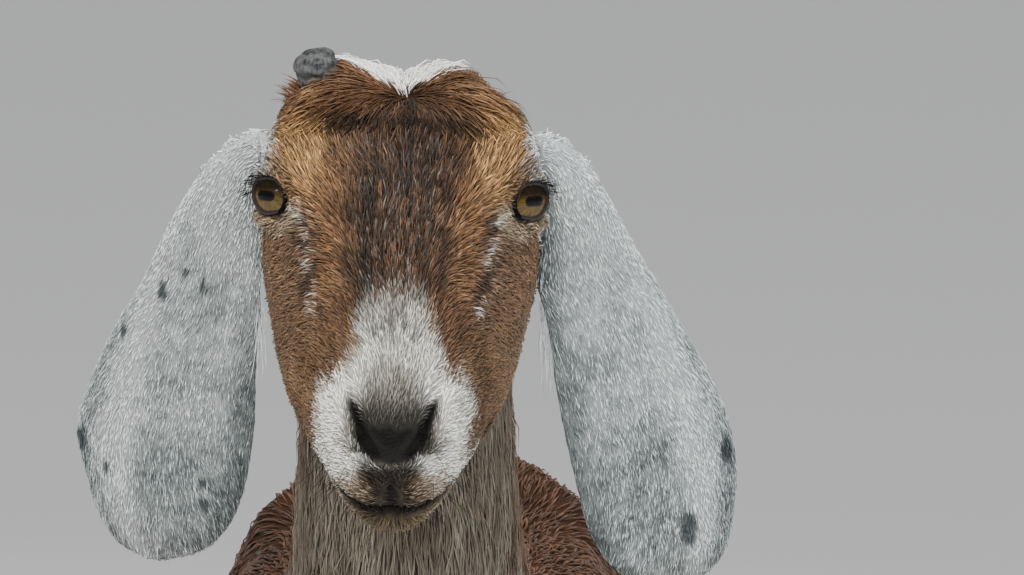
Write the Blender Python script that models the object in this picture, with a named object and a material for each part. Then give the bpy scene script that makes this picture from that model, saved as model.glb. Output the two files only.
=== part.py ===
"""A standing, life-size model of a young Nubian goat, its head turned to the front.

The goat faces -Y and stands on Z = 0; its own left side is +X. Sizes are in metres. The flesh is lofted
from a few tables of girths, joined in one voxel skin, carved with eyes, nostrils and mouth, and then
parted by thin cuts into the pieces that a person would name.
"""
import math

import bmesh
import bpy
import numpy as np
from mathutils import Vector

GAP = 0.0003                       # what touching pieces keep between them
MM = 0.001

# Head: its own frame runs A along the face towards the muzzle and B up out of the forehead, from a
# point midway between the eyes.
EYES_MIDDLE = np.array((0.0, -0.490, 0.945))
FACE_PITCH = math.radians(44)      # how far the face points below level
HEAD_ROLL = math.radians(1.2)      # the goat's left eye is the lower one
EYE_CENTRE = np.array((0.0515, -0.002, -0.002))
EYE_RADIUS = 0.0150
EYE_LOOK = np.array((0.54, 0.47, 0.70))
LID_HALF_LENGTH = 0.0108
LID_HALF_HEIGHT = 0.0082
LID_TILT = math.radians(-29)       # the inner corner lies lower than the outer one

# Girths of the head: ahead of the eyes, half width, top, widest level, bottom, squareness above, below.
HEAD_GIRTHS = (
    (-0.090, 0.018, -0.016, -0.030, -0.044, 2.0, 2.0),
    (-0.082, 0.034, 0.002, -0.022, -0.066, 2.0, 2.0),
    (-0.066, 0.048, 0.019, -0.008, -0.088, 2.2, 2.2),
    (-0.045, 0.0580, 0.034, 0.000, -0.099, 2.3, 2.5),
    (-0.020, 0.0630, 0.040, 0.001, -0.103, 2.3, 2.9),
    (0.000, 0.0625, 0.037, -0.006, -0.101, 2.3, 3.4),
    (0.025, 0.0590, 0.036, -0.022, -0.095, 2.1, 3.4),
    (0.050, 0.0547, 0.034, -0.034, -0.088, 1.9, 3.2),
    (0.075, 0.0488, 0.029, -0.038, -0.082, 1.8, 2.8),
    (0.100, 0.0388, 0.020, -0.034, -0.077, 2.0, 2.2),
    (0.118, 0.0325, 0.010, -0.028, -0.072, 2.4, 1.9),
    (0.130, 0.0265, -0.001, -0.030, -0.069, 2.3, 1.9),
    (0.139, 0.0190, -0.012, -0.034, -0.060, 2.2, 2.0),
    (0.144, 0.0105, -0.023, -0.036, -0.050, 2.0, 2.0),
)

# Girths of the neck: place along Y and Z, half width, half depth across the neck.
NECK_GIRTHS = (
    (-0.440, 0.985, 0.022, 0.012),
    (-0.428, 0.966, 0.036, 0.035),
    (-0.412, 0.935, 0.047, 0.056),
    (-0.395, 0.890, 0.050, 0.062),
    (-0.372, 0.830, 0.052, 0.067),
    (-0.340, 0.760, 0.058, 0.081),
    (-0.295, 0.685, 0.072, 0.110),
    (-0.235, 0.615, 0.092, 0.132),
    (-0.170, 0.570, 0.095, 0.130),
)

# Girths of the trunk: place along Y, half width, top, widest level, bottom, squareness.
TRUNK_GIRTHS = (
    (-0.352, 0.030, 0.570, 0.535, 0.495, 2.0),
    (-0.335, 0.068, 0.615, 0.535, 0.452, 2.1),
    (-0.290, 0.098, 0.670, 0.540, 0.424, 2.2),
    (-0.220, 0.112, 0.718, 0.545, 0.412, 2.2),
    (-0.120, 0.126, 0.731, 0.540, 0.404, 2.2),
    (0.000, 0.152, 0.722, 0.535, 0.390, 2.2),
    (0.110, 0.166, 0.718, 0.530, 0.388, 2.2),
    (0.200, 0.150, 0.728, 0.545, 0.415, 2.2),
    (0.270, 0.124, 0.738, 0.585, 0.458, 2.3),
    (0.340, 0.100, 0.722, 0.610, 0.500, 2.3),
    (0.390, 0.070, 0.690, 0.620, 0.545, 2.1),
    (0.412, 0.030, 0.655, 0.620, 0.590, 2.0),
)

# Girths of a fore leg: X, Y, Z, half width, half length along Y.
FORE_GIRTHS = (
    (0.060, -0.205, 0.690, 0.012, 0.024),
    (0.072, -0.218, 0.655, 0.028, 0.048),
    (0.081, -0.242, 0.580, 0.034, 0.062),
    (0.086, -0.248, 0.520, 0.037, 0.066),
    (0.087, -0.224, 0.450, 0.033, 0.052),
    (0.087, -0.208, 0.400, 0.028, 0.037),
    (0.084, -0.207, 0.340, 0.0225, 0.0275),
    (0.082, -0.211, 0.290, 0.0205, 0.0225),
    (0.081, -0.215, 0.258, 0.0235, 0.0245),
    (0.080, -0.212, 0.228, 0.0185, 0.0200),
    (0.080, -0.211, 0.165, 0.0142, 0.0165),
    (0.080, -0.210, 0.115, 0.0150, 0.0175),
    (0.080, -0.211, 0.092, 0.0185, 0.0205),
    (0.080, -0.219, 0.062, 0.0165, 0.0180),
    (0.080, -0.228, 0.036, 0.0215, 0.0235),
    (0.080, -0.231, 0.010, 0.0215, 0.0235),
)

# Girths of a hind leg, the same way.
HIND_GIRTHS = (
    (0.062, 0.285, 0.690, 0.016, 0.040),
    (0.076, 0.290, 0.650, 0.036, 0.080),
    (0.090, 0.285, 0.580, 0.046, 0.096),
    (0.099, 0.280, 0.510, 0.047, 0.092),
    (0.102, 0.275, 0.450, 0.040, 0.074),
    (0.100, 0.290, 0.395, 0.030, 0.053),
    (0.095, 0.311, 0.345, 0.0225, 0.0375),
    (0.091, 0.330, 0.302, 0.0195, 0.0300),
    (0.089, 0.338, 0.272, 0.0205, 0.0265),
    (0.087, 0.335, 0.240, 0.0170, 0.0215),
    (0.086, 0.328, 0.175, 0.0145, 0.0180),
    (0.085, 0.322, 0.118, 0.0150, 0.0175),
    (0.085, 0.318, 0.093, 0.0185, 0.0205),
    (0.085, 0.309, 0.062, 0.0165, 0.0180),
    (0.085, 0.300, 0.036, 0.0215, 0.0235),
    (0.085, 0.297, 0.010, 0.0215, 0.0235),
)

# Bony and hollow places of the body, on both sides: X, Y, Z, reach, height out of the surface.
BODY_FORMS = (
    (0.105, -0.300, 0.545, 0.035, 0.008),      # point of the shoulder
    (0.085, -0.215, 0.690, 0.045, 0.006),      # shoulder blade
    (0.115, -0.110, 0.640, 0.060, -0.006),     # behind the shoulder blade
    (0.095, 0.215, 0.712, 0.030, 0.010),       # hip bone
    (0.055, 0.385, 0.655, 0.028, 0.008),       # pin bone
    (0.130, 0.160, 0.640, 0.050, -0.014),      # hollow of the flank
    (0.135, 0.215, 0.455, 0.035, 0.008),       # stifle
)

# Forms of the head, on both sides, in the head's frame: side, ahead, up, reach, height.
HEAD_FORMS = (
    (0.050, -0.008, 0.018, 0.014, 0.0030),     # brow
    (0.047, 0.036, -0.012, 0.014, -0.0035),    # tear groove
    (0.046, 0.070, -0.022, 0.020, -0.0020),    # side of the nose
    (0.058, -0.010, -0.058, 0.026, 0.0030),    # cheek muscle
    (0.030, 0.105, -0.034, 0.014, 0.0020),     # upper lip
    (0.050, 0.010, -0.022, 0.010, 0.0020),     # rim under the eye
    (0.027, -0.047, 0.040, 0.013, 0.0030),     # boss of the poll
)

# The line of the right nostril, and the mouth's height at the front and at the corner.
NOSTRIL = ((0.0180, 0.107, 0.006), (0.0166, 0.120, 0.000), (0.0125, 0.130, -0.008), (0.0082, 0.134, -0.012))
MOUTH_FRONT = -0.0445
MOUTH_CORNER = -0.053
MOUTH_BACK = 0.076
CHIN_NARROWING = 0.10

# Ears as seen from the front: out from the midline, below the eyes, half width, tilt of the width.
# The goat's own left ear reaches lower than its right one.
EAR_LEFT = (
    (0.0500, -0.0135, 0.0130, 90),
    (0.0660, -0.0128, 0.0150, 86),
    (0.0750, 0.0050, 0.0215, 50),
    (0.0845, 0.0295, 0.0252, 21),
    (0.0955, 0.0535, 0.0302, 8),
    (0.1050, 0.0805, 0.0357, 7),
    (0.1132, 0.1050, 0.0390, 5),
    (0.1185, 0.1295, 0.0389, 3),
    (0.1205, 0.1500, 0.0355, 2),
    (0.1228, 0.1660, 0.0295, 1),
    (0.1242, 0.1770, 0.0190, 0),
    (0.1250, 0.1830, 0.0050, 0),
)
EAR_RIGHT = (
    (0.0515, -0.0145, 0.0134, 90),
    (0.0675, -0.0142, 0.0157, 86),
    (0.0772, 0.0000, 0.0221, 50),
    (0.0879, 0.0236, 0.0268, 25),
    (0.0953, 0.0475, 0.0319, 12),
    (0.1035, 0.0722, 0.0383, 7),
    (0.1081, 0.0948, 0.0422, 4),
    (0.1114, 0.1132, 0.0436, 2),
    (0.1110, 0.1317, 0.0397, 1),
    (0.1112, 0.1495, 0.0332, 0),
    (0.1123, 0.1630, 0.0221, 0),
    (0.1138, 0.1700, 0.0052, 0),
)
EAR_BASE_Y = -0.450
EAR_SWING = 0.012                  # the tip hangs this much further forward than the base
EAR_YAW = math.radians(38)         # the broad face looks half forward and half outward
EAR_THICKNESS = 0.0046

# The blunt horn stub on the goat's right, in the head's frame, and its size.
HORN_ROOT = np.array((-0.032, -0.046, 0.012))
HORN_TIP = np.array((-0.0420, -0.054, 0.0370))
HORN_RADIUS = 0.0108

# Flat locks of hair: those that fall round the whorl on the poll, and those along the tail.
POLL_WHORL = np.array((0.0, -0.045, 0.045))
POLL_TIERS = ((11, 0.011, 0.030), (9, 0.003, 0.029))      # locks, start from the whorl, length
POLL_LOCK_WIDTH = 0.0115
POLL_SWIRL = 0.30                  # how far a lock turns round the whorl by its tip, in radians
TAIL_LOCKS = 11
TAIL_LOCK_LENGTH = 0.048
TAIL_LOCK_WIDTH = 0.013
LOCK_THICKNESS = 0.0024

# The tail: Y, Z, half width, half depth.
TAIL_GIRTHS = (
    (0.375, 0.690, 0.020, 0.015),
    (0.402, 0.702, 0.023, 0.016),
    (0.427, 0.699, 0.026, 0.015),
    (0.443, 0.676, 0.028, 0.014),
    (0.450, 0.645, 0.027, 0.013),
    (0.453, 0.610, 0.019, 0.010),
    (0.454, 0.584, 0.006, 0.005),
)

# Feet: the middle of each, and the shape of one claw.
FORE_FOOT = (0.080, -0.230)
HIND_FOOT = (0.085, 0.298)
CLAW_HALF_WIDTH = 0.0104
CLAW_APART = 0.0111                # from the foot's middle to a claw's middle
CLAW_HEEL = 0.0225
CLAW_TOE = 0.0350
CLAW_SETBACK = 0.0125              # how far the front wall leans back by the top
CORONET_Z = 0.030
CORONET_SLOPE = 0.24               # higher in front

# Planes that part the pieces: a point and the direction of the piece that lies beyond.
NECK_TOP_POINT = np.array((0, -0.395, 0.915))
NECK_TOP_WAY = np.array((0, 0.83, -0.556))
NECK_FOOT_POINT = np.array((0, -0.268, 0.655))
NECK_FOOT_WAY = np.array((0, 0.75, -0.66))
KNEE_CUT = 0.292
HOCK_CUT = 0.315

# The blocks that cut the legs off the trunk: middle, half size and slope of the top, for the left side.
FORE_BLOCK = ((0.125, -0.235, 0.200), (0.090, 0.105, 0.245), math.radians(38))
HIND_BLOCK = ((0.132, 0.290, 0.230), (0.092, 0.135, 0.265), math.radians(36))

HEAD_TRIANGLES = 3400
BODY_TRIANGLES = 4200


def unit(v):
    """The vector, or each row of vectors, at length one."""
    v = np.asarray(v, float)
    return v / np.linalg.norm(v, axis=-1, keepdims=True)


def through(places, values, at):
    """A smooth curve through the values, read at new places: cubic, with each slope from its neighbours."""
    x, y = np.asarray(places, float), np.asarray(values, float)
    steps = np.diff(x)
    rises = np.diff(y, axis=0) / steps.reshape((-1,) + (1,) * (y.ndim - 1))
    slopes = np.concatenate([rises[:1], (rises[1:] + rises[:-1]) / 2, rises[-1:]])
    i = np.clip(np.searchsorted(x, at) - 1, 0, len(x) - 2)
    h = steps[i]
    t = (at - x[i]) / h
    grow = (slice(None),) + (None,) * (y.ndim - 1)
    t, h = t[grow], h[grow]
    return (y[i] * (1 + 2 * t) * (1 - t) ** 2 + slopes[i] * h * t * (1 - t) ** 2
            + y[i + 1] * t * t * (3 - 2 * t) + slopes[i + 1] * h * t * t * (t - 1))


def smooth_step(low, high, x):
    """0 below low, 1 above high, with a soft rise between them."""
    t = np.clip((x - low) / (high - low), 0, 1)
    return t * t * (3 - 2 * t)


def bump(distance, width):
    """1 at distance 0, fading like a bell to nearly nothing at two widths."""
    return np.exp(-(distance / width) ** 2)


def rounded(angle, squareness):
    """Cosine and sine of the angle, pushed towards a square as squareness grows past 2."""
    c, s = np.cos(angle), np.sin(angle)
    return (np.sign(c) * np.abs(c) ** (2 / squareness), np.sign(s) * np.abs(s) ** (2 / squareness))


def girth_rings(table, rows, around):
    """Rings across an axis from a table of place, half width, top, widest level, bottom and squareness.

    Returns the place along the axis, the offset to the side and the height of every point."""
    t = np.array(table)
    place = through(np.arange(len(t)), t[:, 0], np.linspace(0, len(t) - 1, rows))
    width, top, level, bottom = (through(t[:, 0], t[:, k], place)[:, None] for k in (1, 2, 3, 4))
    above = through(t[:, 0], t[:, 5], place)[:, None]
    below = through(t[:, 0], t[:, -1], place)[:, None]
    angle = np.linspace(0, 2 * np.pi, around, endpoint=False)[None, :]
    up, side = rounded(angle, np.where(np.cos(angle) > 0, above, below))
    height = level + np.where(up > 0, top - level, level - bottom) * up
    return np.broadcast_to(place[:, None], side.shape), width * side, height


def head_to_world(points):
    """Points of the head's own frame (side, along the face, out of the forehead) as world points."""
    p = np.asarray(points, float)
    forward = np.array((0, -math.cos(FACE_PITCH), -math.sin(FACE_PITCH)))
    upward = np.array((0, -math.sin(FACE_PITCH), math.cos(FACE_PITCH)))
    side = np.array((1.0, 0, 0))
    out = p[..., :1] * side + p[..., 1:2] * forward + p[..., 2:3] * upward
    c, s = math.cos(HEAD_ROLL), math.sin(HEAD_ROLL)
    rolled = np.stack([c * out[..., 0] + s * out[..., 2], out[..., 1], c * out[..., 2] - s * out[..., 0]], -1)
    return rolled + EYES_MIDDLE


def world_to_head(points):
    """The inverse of head_to_world."""
    q = np.asarray(points, float) - EYES_MIDDLE
    c, s = math.cos(HEAD_ROLL), math.sin(HEAD_ROLL)
    x, z = c * q[..., 0] - s * q[..., 2], c * q[..., 2] + s * q[..., 0]
    along = -math.cos(FACE_PITCH) * q[..., 1] - math.sin(FACE_PITCH) * z
    out = -math.sin(FACE_PITCH) * q[..., 1] + math.cos(FACE_PITCH) * z
    return np.stack([x, along, out], -1)


def head_rings(rows=70, around=64):
    along, side, height = girth_rings(HEAD_GIRTHS, rows, around)
    return head_to_world(np.stack([side, along, height], -1))


def trunk_rings(rows=60, around=56):
    along, side, height = girth_rings(TRUNK_GIRTHS, rows, around)
    return np.stack([side, along, height], -1)


def neck_rings(rows=40, around=48):
    t = np.array(NECK_GIRTHS)
    knots = np.arange(len(t))
    at = np.linspace(0, len(t) - 1, rows)
    centre = through(knots, t[:, :2], at)
    run = unit(np.gradient(centre, axis=0))
    across = np.stack([run[:, 1], -run[:, 0]], -1)          # turned from the axis, in the Y-Z plane
    width, depth = through(knots, t[:, 2], at), through(knots, t[:, 3], at)
    angle = np.linspace(0, 2 * np.pi, around, endpoint=False)
    c, s = rounded(angle, 2.15)
    yz = centre[:, None, :] + across[:, None, :] * (depth[:, None] * c[None, :])[..., None]
    return np.concatenate([(width[:, None] * s[None, :])[..., None], yz], -1)


def leg_rings(table, side, rows=70, around=28):
    """A leg's rings, each across the leg's own run; side is +1 for the goat's left and -1 for its right."""
    t = np.array(table)
    knots = np.arange(len(t))
    at = np.linspace(0, len(t) - 1, rows)
    centre = through(knots, t[:, :3], at)
    run = unit(np.gradient(centre, axis=0))
    ahead = unit(np.cross(run, (1.0, 0, 0)))
    width, depth = through(knots, t[:, 3], at), through(knots, t[:, 4], at)
    c, s = rounded(np.linspace(0, 2 * np.pi, around, endpoint=False), 2.2)
    ring = (centre[:, None, :] + ahead[:, None, :] * (depth[:, None] * c[None, :])[..., None]
            + np.array((1.0, 0, 0)) * (width[:, None] * s[None, :])[..., None])
    ring[..., 0] *= side
    return ring


def new_object(name, points, faces):
    mesh = bpy.data.meshes.new(name)
    mesh.from_pydata([tuple(p) for p in points], [], [tuple(f) for f in faces])
    mesh.validate()
    made = bpy.data.objects.new(name, mesh)
    bpy.context.collection.objects.link(made)
    return made


def tube(name, rings):
    """A closed skin over rings of points, with a middle point on each end."""
    rows, around = rings.shape[:2]
    points = np.concatenate([rings.reshape(-1, 3), rings[0].mean(0)[None], rings[-1].mean(0)[None]])
    first, last = rows * around, rows * around + 1
    faces = []
    for j in range(around):
        k = (j + 1) % around
        faces += [(i * around + j, i * around + k, (i + 1) * around + k, (i + 1) * around + j)
                  for i in range(rows - 1)]
        faces.append((first, k, j))
        faces.append((last, (rows - 1) * around + j, (rows - 1) * around + k))
    made = new_object(name, points, faces)
    face_outwards(made)
    return made


def face_outwards(made):
    work = bmesh.new()
    work.from_mesh(made.data)
    bmesh.ops.recalc_face_normals(work, faces=work.faces)
    if work.calc_volume(signed=True) < 0:
        bmesh.ops.reverse_faces(work, faces=work.faces)
    work.to_mesh(made.data)
    work.free()


def points_of(made):
    flat = np.empty(len(made.data.vertices) * 3)
    made.data.vertices.foreach_get("co", flat)
    return flat.reshape(-1, 3)


def normals_of(made):
    flat = np.empty(len(made.data.vertices) * 3)
    made.data.vertices.foreach_get("normal", flat)
    return flat.reshape(-1, 3)


def set_points(made, points):
    made.data.vertices.foreach_set("co", np.ascontiguousarray(points).ravel())
    made.data.update()


def settle(made):
    """Applies the object's modifiers."""
    graph = bpy.context.evaluated_depsgraph_get()
    graph.update()
    mesh = bpy.data.meshes.new_from_object(made.evaluated_get(graph))
    made.modifiers.clear()
    made.data = mesh


def joined(name, parts):
    """One object of all the parts' meshes, which may still cross each other."""
    work = bmesh.new()
    for part in parts:
        work.from_mesh(part.data)
    mesh = bpy.data.meshes.new(name)
    work.to_mesh(mesh)
    work.free()
    for part in parts:
        bpy.data.objects.remove(part)
    made = bpy.data.objects.new(name, mesh)
    bpy.context.collection.objects.link(made)
    return made


def remesh(made, size):
    step = made.modifiers.new("voxels", "REMESH")
    step.mode = "VOXEL"
    step.voxel_size = size
    settle(made)


def relax(made, rounds, above=None):
    """Smooths away voxel steps without shrinking: each round draws points in, then pushes them out.

    With a height given, only the trunk above it moves, and not the top of the neck."""
    points = points_of(made)
    height = points[:, 2:3]
    free = 1.0 if above is None else smooth_step(above, above + 0.04, height) * (1 - smooth_step(0.76, 0.84, height))
    edges = np.empty(len(made.data.edges) * 2, int)
    made.data.edges.foreach_get("vertices", edges)
    a, b = edges[0::2], edges[1::2]
    count = np.bincount(edges, minlength=len(points))[:, None]
    for turn in range(2 * rounds):
        total = np.empty_like(points)
        for k in range(3):
            total[:, k] = (np.bincount(a, points[b, k], len(points))
                           + np.bincount(b, points[a, k], len(points)))
        points = points + free * (0.5 if turn % 2 == 0 else -0.505) * (total / count - points)
    set_points(made, points)


def thin_out(made, triangles):
    """Decimates to about this many triangles."""
    now = sum(len(face.vertices) - 2 for face in made.data.polygons)
    step = made.modifiers.new("fewer", "DECIMATE")
    step.ratio = min(1.0, triangles / now)
    step.use_collapse_triangulate = True
    settle(made)


def boolean(made, other, operation, solver="EXACT"):
    step = made.modifiers.new("cut", "BOOLEAN")
    step.operation = operation
    step.solver = solver
    step.object = other
    settle(made)


def keep_largest(made):
    """Keeps only the closed surface with the most volume, which drops scraps and fills sealed hollows."""
    work = bmesh.new()
    work.from_mesh(made.data)
    bmesh.ops.remove_doubles(work, verts=work.verts, dist=1e-6)
    bmesh.ops.dissolve_degenerate(work, edges=work.edges, dist=2e-6)
    bmesh.ops.triangulate(work, faces=work.faces)
    seen, groups = set(), []
    for face in work.faces:
        if face in seen:
            continue
        seen.add(face)
        group, edge_faces = [], [face]
        while edge_faces:
            here = edge_faces.pop()
            group.append(here)
            for edge in here.edges:
                for other in edge.link_faces:
                    if other not in seen:
                        seen.add(other)
                        edge_faces.append(other)
        groups.append(group)

    def volume(group):
        return abs(sum(f.verts[0].co.dot(f.verts[1].co.cross(f.verts[2].co)) for f in group))

    groups.sort(key=volume)
    drop = [face for group in groups[:-1] for face in group]
    bmesh.ops.delete(work, geom=drop, context="FACES")
    work.to_mesh(made.data)
    work.free()


def copy_of(made, name):
    twin = made.copy()
    twin.data = made.data.copy()
    twin.name = name
    bpy.context.collection.objects.link(twin)
    return twin


def grown(made, distance):
    """A copy whose points stand out along their normals."""
    twin = copy_of(made, made.name + "_grown")
    set_points(twin, points_of(twin) + normals_of(twin) * distance)
    return twin


def clear_of(made, neighbour, gap=1.4 * GAP, solver="EXACT"):
    """Cuts the piece back from its neighbour, so that they face each other across the gap."""
    cutter = grown(neighbour, gap)
    boolean(made, cutter, "DIFFERENCE", solver)
    bpy.data.objects.remove(cutter)
    keep_largest(made)


def halved(made, point, normal):
    """Keeps what lies behind the plane and closes the cut."""
    work = bmesh.new()
    work.from_mesh(made.data)
    everything = list(work.verts) + list(work.edges) + list(work.faces)
    bmesh.ops.bisect_plane(work, geom=everything, dist=1e-7, plane_co=point, plane_no=normal, clear_outer=True)
    rim = [edge for edge in work.edges if edge.is_boundary]
    bmesh.ops.triangle_fill(work, edges=rim, use_beauty=True, use_dissolve=False)
    bmesh.ops.recalc_face_normals(work, faces=work.faces)
    if work.calc_volume(signed=True) < 0:
        bmesh.ops.reverse_faces(work, faces=work.faces)
    work.to_mesh(made.data)
    work.free()


def swollen(points, normals, forms):
    """Pushes the surface out, or in, round each place and its mirror image."""
    for x, y, z, reach, height in forms:
        for side in ((1, -1) if x else (1,)):
            away = np.linalg.norm(points - np.array((side * x, y, z)), axis=1)
            points = points + normals * (height * bump(away, reach))[:, None]
    return points


def to_polyline(points, path):
    """Distance from each point to a line through a few places."""
    best = np.full(len(points), np.inf)
    for a, b in zip(path[:-1], path[1:]):
        a, b = np.array(a), np.array(b)
        t = np.clip((points - a) @ (b - a) / ((b - a) @ (b - a)), 0, 1)
        best = np.minimum(best, np.linalg.norm(points - (a + t[:, None] * (b - a)), axis=1))
    return best


def eye_axes(side):
    """The eye's look, the line between the corners of the lids, and the line across them."""
    look = unit(EYE_LOOK * np.array((side, 1, 1)))
    level = unit(np.cross(look, (side * 1.0, 0, 0)))
    along = np.array((0, 1.0, 0)) - look * look[1]
    along = unit(along)
    across = unit(np.cross(along, look))
    if across[2] < 0:
        across = -across
    turned = math.cos(LID_TILT) * along - math.sin(LID_TILT) * across
    return look, unit(turned), unit(math.cos(LID_TILT) * across + math.sin(LID_TILT) * along), level


def with_lids(points):
    """Draws the skin round each eye in to the ball: a hole of almond shape with a thick rim."""
    for side in (1, -1):
        centre = EYE_CENTRE * np.array((side, 1, 1))
        look, along, across, _ = eye_axes(side)
        away = points - centre
        radius = np.linalg.norm(away, axis=1)
        u, v, out = away @ along, away @ across, away @ look
        rho = np.sqrt((u / LID_HALF_LENGTH) ** 2 + (v / LID_HALF_HEIGHT) ** 2)
        inside = EYE_RADIUS - 2.5 * MM
        rim = EYE_RADIUS + 2.0 * MM
        wanted = inside + (rim - inside) * smooth_step(0.80, 1.15, rho)
        share = (1 - smooth_step(1.35, 2.3, rho)) * (out > 0.002) * (radius < 2.2 * EYE_RADIUS)
        moved = centre + away / radius[:, None] * wanted[:, None]
        points = points + (moved - points) * share[:, None]
    return points


def carve_head(made):
    """Brow, cheeks, nostrils, the line of the mouth and the lids, worked in the head's frame."""
    points = world_to_head(points_of(made))
    normals = world_to_head(normals_of(made) + EYES_MIDDLE)
    points = swollen(points, normals, HEAD_FORMS)
    x, a, b = points.T
    line = MOUTH_CORNER + (MOUTH_FRONT - MOUTH_CORNER) * smooth_step(MOUTH_BACK, 0.135, a)
    ahead = smooth_step(MOUTH_BACK - 0.003, MOUTH_BACK + 0.006, a)
    under = smooth_step(0.0, 0.014, line - b) * smooth_step(0.060, 0.110, a)
    points = points * np.stack([1 - CHIN_NARROWING * under, np.ones_like(a), np.ones_like(a)], -1)
    points = points - normals * (3.2 * MM * ahead * bump(b - line, 0.0021))[:, None]
    points = points + normals * (1.2 * MM * ahead * bump(b - line + 0.006, 0.004))[:, None]
    philtrum = bump(x, 0.0016) * smooth_step(-0.050, -0.044, b) * (1 - smooth_step(-0.024, -0.016, b)) * (a > 0.1)
    points = points - normals * (1.4 * MM * philtrum)[:, None]
    away = to_polyline(np.abs(points) * (1, 0, 0) + points * (0, 1, 1), NOSTRIL)
    inwards = unit(np.array((0.0, -1.0, -0.25)))
    points = points + normals * (1.6 * MM * bump(away - 0.0066, 0.0028))[:, None]
    points = points + inwards * (8.0 * MM * bump(away, 0.0032))[:, None]
    points = with_lids(points)
    set_points(made, head_to_world(points))


def head_form():
    made = joined("head_form", [tube("skull", head_rings()), tube("nape", neck_rings()[:18])])
    remesh(made, 0.0016)
    relax(made, 40)
    carve_head(made)
    relax(made, 1)
    return made


def body_form():
    parts = [tube("trunk", trunk_rings()), tube("neck", neck_rings()), tube("skull", head_rings(40, 40))]
    for side in (1, -1):
        parts.append(tube("leg", leg_rings(FORE_GIRTHS, side)))
        parts.append(tube("leg", leg_rings(HIND_GIRTHS, side)))
    made = joined("body_form", parts)
    remesh(made, 0.005)
    relax(made, 10)
    relax(made, 60, above=0.40)
    set_points(made, swollen(points_of(made), normals_of(made), BODY_FORMS))
    return made


def ear_rings(table, side, rows=20, around=18, thickness=EAR_THICKNESS):
    """Rings round a long cupped leaf: its width turns from upright at the root to level below."""
    t = np.array(table)
    at = np.linspace(0, len(t) - 1, rows)
    out, drop, half, tilt = through(np.arange(len(t)), t, at).T
    down = smooth_step(0.6, 3.8, at)
    yaw = EAR_YAW * down
    tilt = np.radians(tilt)
    half = np.maximum(half, 0.003) / np.cos(yaw)
    centre = np.stack([out, EAR_BASE_Y - EAR_SWING * at / at[-1], EYES_MIDDLE[2] - drop], -1)
    across = np.stack([np.cos(tilt) * np.cos(yaw), np.cos(tilt) * np.sin(yaw), np.sin(tilt)], -1)
    run = unit(np.gradient(centre, axis=0))
    face = unit(np.cross(run, across))
    angle = np.linspace(0, 2 * np.pi, around, endpoint=False)[None, :]
    u, through_wall = np.cos(angle), np.sin(angle)
    ridge = 0.28
    crown = 1 - np.where(u > ridge, (u - ridge) / (1 - ridge), (u - ridge) / (1 + ridge)) ** 2
    cup = (1.10 - 0.82 * down - 0.10 * smooth_step(8, 11, at))[:, None]
    wall = thickness / 2 * through_wall * (1 + 0.5 * (1 - down[:, None]))
    lift = half[:, None] * cup * (crown - 0.2) + wall
    rings = centre[:, None, :] + across[:, None, :] * (half[:, None] * u)[..., None] + face[:, None, :] * lift[..., None]
    rings[..., 0] *= side
    return rings


def horn_rings(rows=9, around=14):
    """A short blunt stub, a little squashed and ringed."""
    t = np.linspace(0, 1, rows)
    spine = HORN_ROOT + (HORN_TIP - HORN_ROOT) * t[:, None]
    run = unit(HORN_TIP - HORN_ROOT)
    first = unit(np.cross(run, (0, 1, 0)))
    second = np.cross(run, first)
    radius = HORN_RADIUS * (1 - 0.22 * t) * np.sqrt(np.clip(1 - np.maximum(t - 0.78, 0) ** 2 / 0.075, 0.05, 1))
    radius = radius * (1 + 0.04 * np.cos(t * 22))
    angle = np.linspace(0, 2 * np.pi, around, endpoint=False)
    lumps = 1 + 0.06 * np.sin(3 * angle + 1)
    ring = (first * np.cos(angle)[:, None] * 1.12 + second * np.sin(angle)[:, None] * 0.95) * lumps[:, None]
    return head_to_world(spine[:, None, :] + ring[None] * radius[:, None, None])


def lock(path, outs, width):
    """A flat tapered lock along a path; outs point away from the skin below it."""
    t = np.linspace(0, 1, len(path))
    run = unit(np.gradient(path, axis=0))
    side = unit(np.cross(run, outs))
    up = np.cross(side, run)
    half = width / 2 * (0.85 + 0.4 * t) * (1 - 0.95 * t ** 1.8)
    thick = LOCK_THICKNESS / 2 * (1 - 0.6 * t ** 2)
    angle = np.linspace(0, 2 * np.pi, 5, endpoint=False) + 0.3
    ring = (side[:, None, :] * (half[:, None] * np.cos(angle))[..., None]
            + up[:, None, :] * (thick[:, None] * np.sin(angle))[..., None])
    return tube("lock", path[:, None, :] + ring)


def poll_locks(whole):
    """Two tiers of locks that fan out from the whorl and lie over the skin, short where the horn stands."""
    made = []
    towards_horn = math.atan2(HORN_ROOT[0] - POLL_WHORL[0], HORN_ROOT[1] - POLL_WHORL[1])
    for tier, (count, start, full) in enumerate(POLL_TIERS):
        for k in range(count):
            angle = 2 * math.pi * (k + 0.5 * tier + 0.1) / count
            off_horn = abs((angle - towards_horn + math.pi) % (2 * math.pi) - math.pi)
            if off_horn < 0.55 and tier == 0:
                continue
            spread = 0.82 + 0.36 * abs(math.sin(angle)) + 0.10 * math.sin(5.0 * k + tier)
            length = full * (0.50 if off_horn < 0.75 else spread)
            turn = POLL_SWIRL * (1 if math.sin(angle) > 0 else -1) * (0.6 + 0.4 * math.sin(3.0 * k))
            path, outs = [], []
            for t in np.linspace(0, 1, 5):
                way = angle + turn * t * t
                spot = POLL_WHORL + np.array((math.sin(way), math.cos(way), 0)) * (start + length * t)
                _, on_skin, out, _ = whole.closest_point_on_mesh(Vector(head_to_world(spot)))
                height = -0.0015 + 0.0062 * math.sin(math.pi * t ** 0.8 * 0.75) + 0.0022 * tier
                path.append(np.array(on_skin) + np.array(out) * height)
                outs.append(np.array(out))
            made.append(lock(np.array(path), np.array(outs), POLL_LOCK_WIDTH))
    return made


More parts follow.
